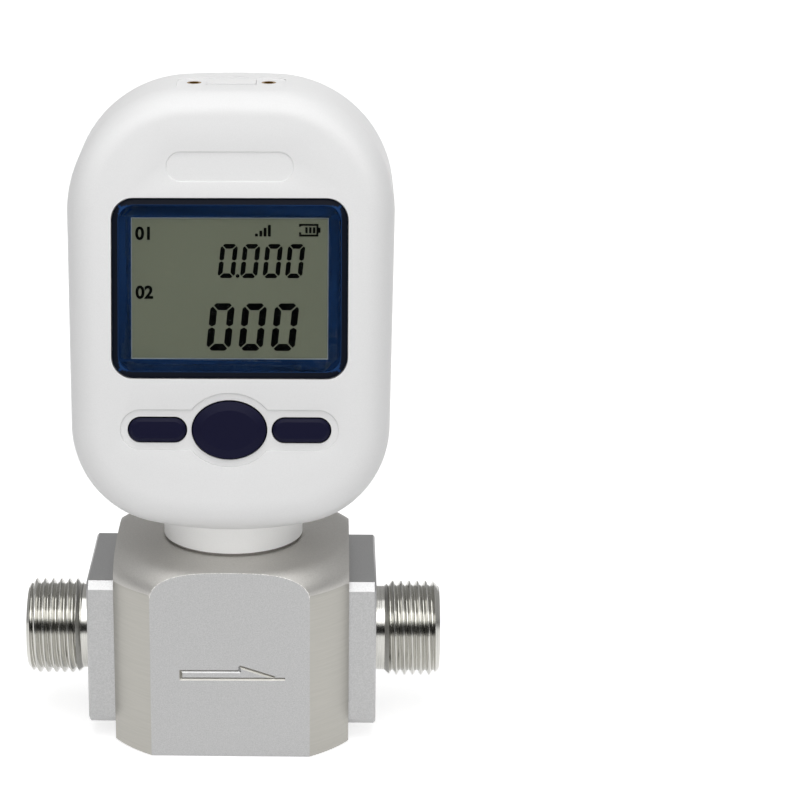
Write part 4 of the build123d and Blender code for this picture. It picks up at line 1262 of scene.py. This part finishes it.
@dataclass
class Studio:
    """Floor, lamps and camera.

    Args:
        eye_mm: the camera's place.
        yaw, pitch, roll: its turn in radians, pitch downwards.
        focal_px: focal length in pixels of the photograph's frame.
        centre_px: the principal point's column.
        softboxes: the lamps.
        floor_lift: how much whiter the floor shows than the lamps make it.
        room_light: strength of the room's own light.
        mirrored_room: strength of the room where metal mirrors it.
    """

    eye_mm: Point = (21.05, -566.6844, 249.9092)
    yaw: float = -0.0381
    pitch: float = 0.3028
    roll: float = 0.007
    focal_px: float = 2740.36
    centre_px: float = 230.0
    softboxes: tuple[Softbox, ...] = (
        Softbox("top softbox", (0.0, -0.1, 0.5), (0.4, 0.4), 0.94),
        Softbox("front softbox", (0.0, -0.75, 0.75), (0.45, 0.45), 0.94),
        Softbox("fill", (0.0, -1.1, 0.3), (2.4, 0.5), 4.0, ("glossy", "transmission")),
        Softbox("back fill", (0.25, 1.3, 0.45), (2.4, 0.6), 11.5, ("glossy", "transmission")),
        # a long strip that metal and gloss alone show, high in front
        Softbox("strip", (0.0, -0.62, 0.78), (2.6, 0.42), 6.2, ("diffuse", "transmission")),
        # a slit that lights the neck in the head's shade
        Softbox(
            "neck light", (0.0, -0.3, 0.03), (0.3, 0.02), 0.0014,
            ("glossy", "transmission", "camera"), aim=(0.0, -0.01, 0.047), spread=9.0,
        ),
    )
    floor_lift: float = 0.64
    room_light: float = 0.32
    mirrored_room: float = 0.46

    def build(self) -> None:
        """Set up the whole studio."""
        bpy.context.scene.view_settings.view_transform = "Standard"
        self.floor()
        for softbox in self.softboxes:
            softbox.build()
        self.flags()
        self.world()
        self.camera()

    def floor(self) -> None:
        """A pale floor that keeps the object's shadow."""
        bpy.ops.object.select_all(action="DESELECT")
        bpy.ops.mesh.primitive_plane_add(size=12.0, location=(0, 0, 0))
        floor = bpy.context.object
        floor.name = "floor"
        shader = Shader("white floor")
        shader.set(Base_Color=linear("dcdcdc"), Roughness=0.9, Specular_IOR_Level=0.0)
        shown = shader.math("MULTIPLY", self.seen(shader), self.floor_lift)
        shader.set(Emission_Color=(1, 1, 1, 1), Emission_Strength=shown)
        floor.data.materials.append(shader.material)

    def seen(self, nodes: Nodes) -> bpy.types.NodeSocket:
        """Give 1 where the camera, a mirror or a window sees the surface.

        Args:
            nodes: the tree to wire it in.

        Returns:
            The socket.
        """
        path = nodes.add("LightPath").outputs
        direct = nodes.math("MAXIMUM", path["Is Camera Ray"], path["Is Glossy Ray"])
        return nodes.math("MAXIMUM", direct, path["Is Transmission Ray"])

    def flags(self) -> None:
        """Dark cloth low around the front, which only metal and gloss reflect."""
        radius, low, height, back = 1.3, 0.12, 0.55, 0.1
        bpy.ops.object.select_all(action="DESELECT")
        bpy.ops.mesh.primitive_circle_add(vertices=96, radius=radius, location=(0, 0, low))
        cloth = bpy.context.object
        cloth.name = "flags"
        edit(cloth)
        bpy.ops.mesh.extrude_region_move(TRANSFORM_OT_translate={"value": (0, 0, height)})
        bpy.ops.mesh.select_all(action="SELECT")
        bpy.ops.mesh.bisect(plane_co=(0, back, 0), plane_no=(0, 1, 0), clear_outer=True)
        done()
        shader = Shader("black cloth")
        shader.set(Base_Color=linear("1a1a1a"), Roughness=0.9, Specular_IOR_Level=0.0)
        cloth.data.materials.append(shader.material)
        for ray in ("camera", "diffuse", "volume_scatter", "shadow"):
            setattr(cloth, "visible_" + ray, False)

    def world(self) -> None:
        """A pale room: white to the camera, dimmer where it lights or is mirrored."""
        world = bpy.data.worlds.new("pale room")
        bpy.context.scene.world = world
        world.use_nodes = True
        world.node_tree.nodes.clear()
        nodes = Nodes(world.node_tree)
        path = nodes.add("LightPath").outputs
        direct = nodes.math("MAXIMUM", path["Is Camera Ray"], path["Is Transmission Ray"])
        shown = nodes.math("MULTIPLY", direct, 1 - self.room_light)
        dimmed = nodes.math(
            "MULTIPLY", path["Is Glossy Ray"], self.mirrored_room - self.room_light
        )
        strength = nodes.math("ADD", nodes.math("ADD", shown, dimmed), self.room_light)
        room = nodes.add("Background", Color=(1, 1, 1, 1), Strength=strength)
        nodes.add("OutputWorld", Surface=room.outputs[0])

    def camera(self) -> None:
        """The camera at the place and turn of the photograph's."""
        data = bpy.data.cameras.new("camera")
        data.sensor_width = SENSOR_MM
        data.lens = self.focal_px / FRAME_PX * SENSOR_MM
        data.shift_x = (FRAME_PX / 2 - self.centre_px) / FRAME_PX
        data.clip_start = 0.05
        data.clip_end = 50.0
        camera = bpy.data.objects.new("camera", data)
        bpy.context.scene.collection.objects.link(camera)
        bpy.context.scene.camera = camera
        ahead = Vector(
            (
                math.sin(self.yaw) * math.cos(self.pitch),
                math.cos(self.yaw) * math.cos(self.pitch),
                -math.sin(self.pitch),
            )
        )
        right = Vector((math.cos(self.yaw), -math.sin(self.yaw), 0.0))
        down = ahead.cross(right)
        level, turn = math.cos(self.roll), math.sin(self.roll)
        across = level * right + turn * down
        below = -turn * right + level * down
        turned = Matrix((across, -below, -ahead)).transposed().to_4x4()
        camera.matrix_world = Matrix.Translation(Vector(self.eye_mm) * MM) @ turned


def main() -> None:
    """Build the scene in order and report each piece."""
    logging.basicConfig(level=logging.INFO, format="%(name)s: %(message)s")
    bpy.ops.object.select_all(action="DESELECT")
    for look in CadLook:
        look.dress()
    log.info("dressed %d nodes", len(CadLook))
    face = Face()
    makers = (
        FlowBlock(),
        ThreadedEnd("inlet_fitting", "inlet_end", first_x=-46.535, turns=7.5),
        ThreadedEnd("outlet_fitting", "outlet_end", first_x=32.526, turns=8.0),
        HeadShell(face),
        DisplayFrame(face),
        Readout(face),
        SocketScrews(
            "shell_screws", "case_screws", spots=((-24, 68), (24, 68), (-24, 124), (24, 124)),
            head_y=19.9, key_r=1.15, key_deep=1.1,
        ),
        SocketScrews(
            "door_screws", "hatch_screws", spots=((0, 59.4), (0, 116.6)),
            head_y=20.0, key_r=0.87, key_deep=0.7,
        ),
    )
    for maker in makers:
        piece = maker.build()
        maker.dress(piece)
        log.info("%s: %d faces", piece.name, len(piece.data.polygons))
    Studio().build()


if __name__ == "__main__":
    main()
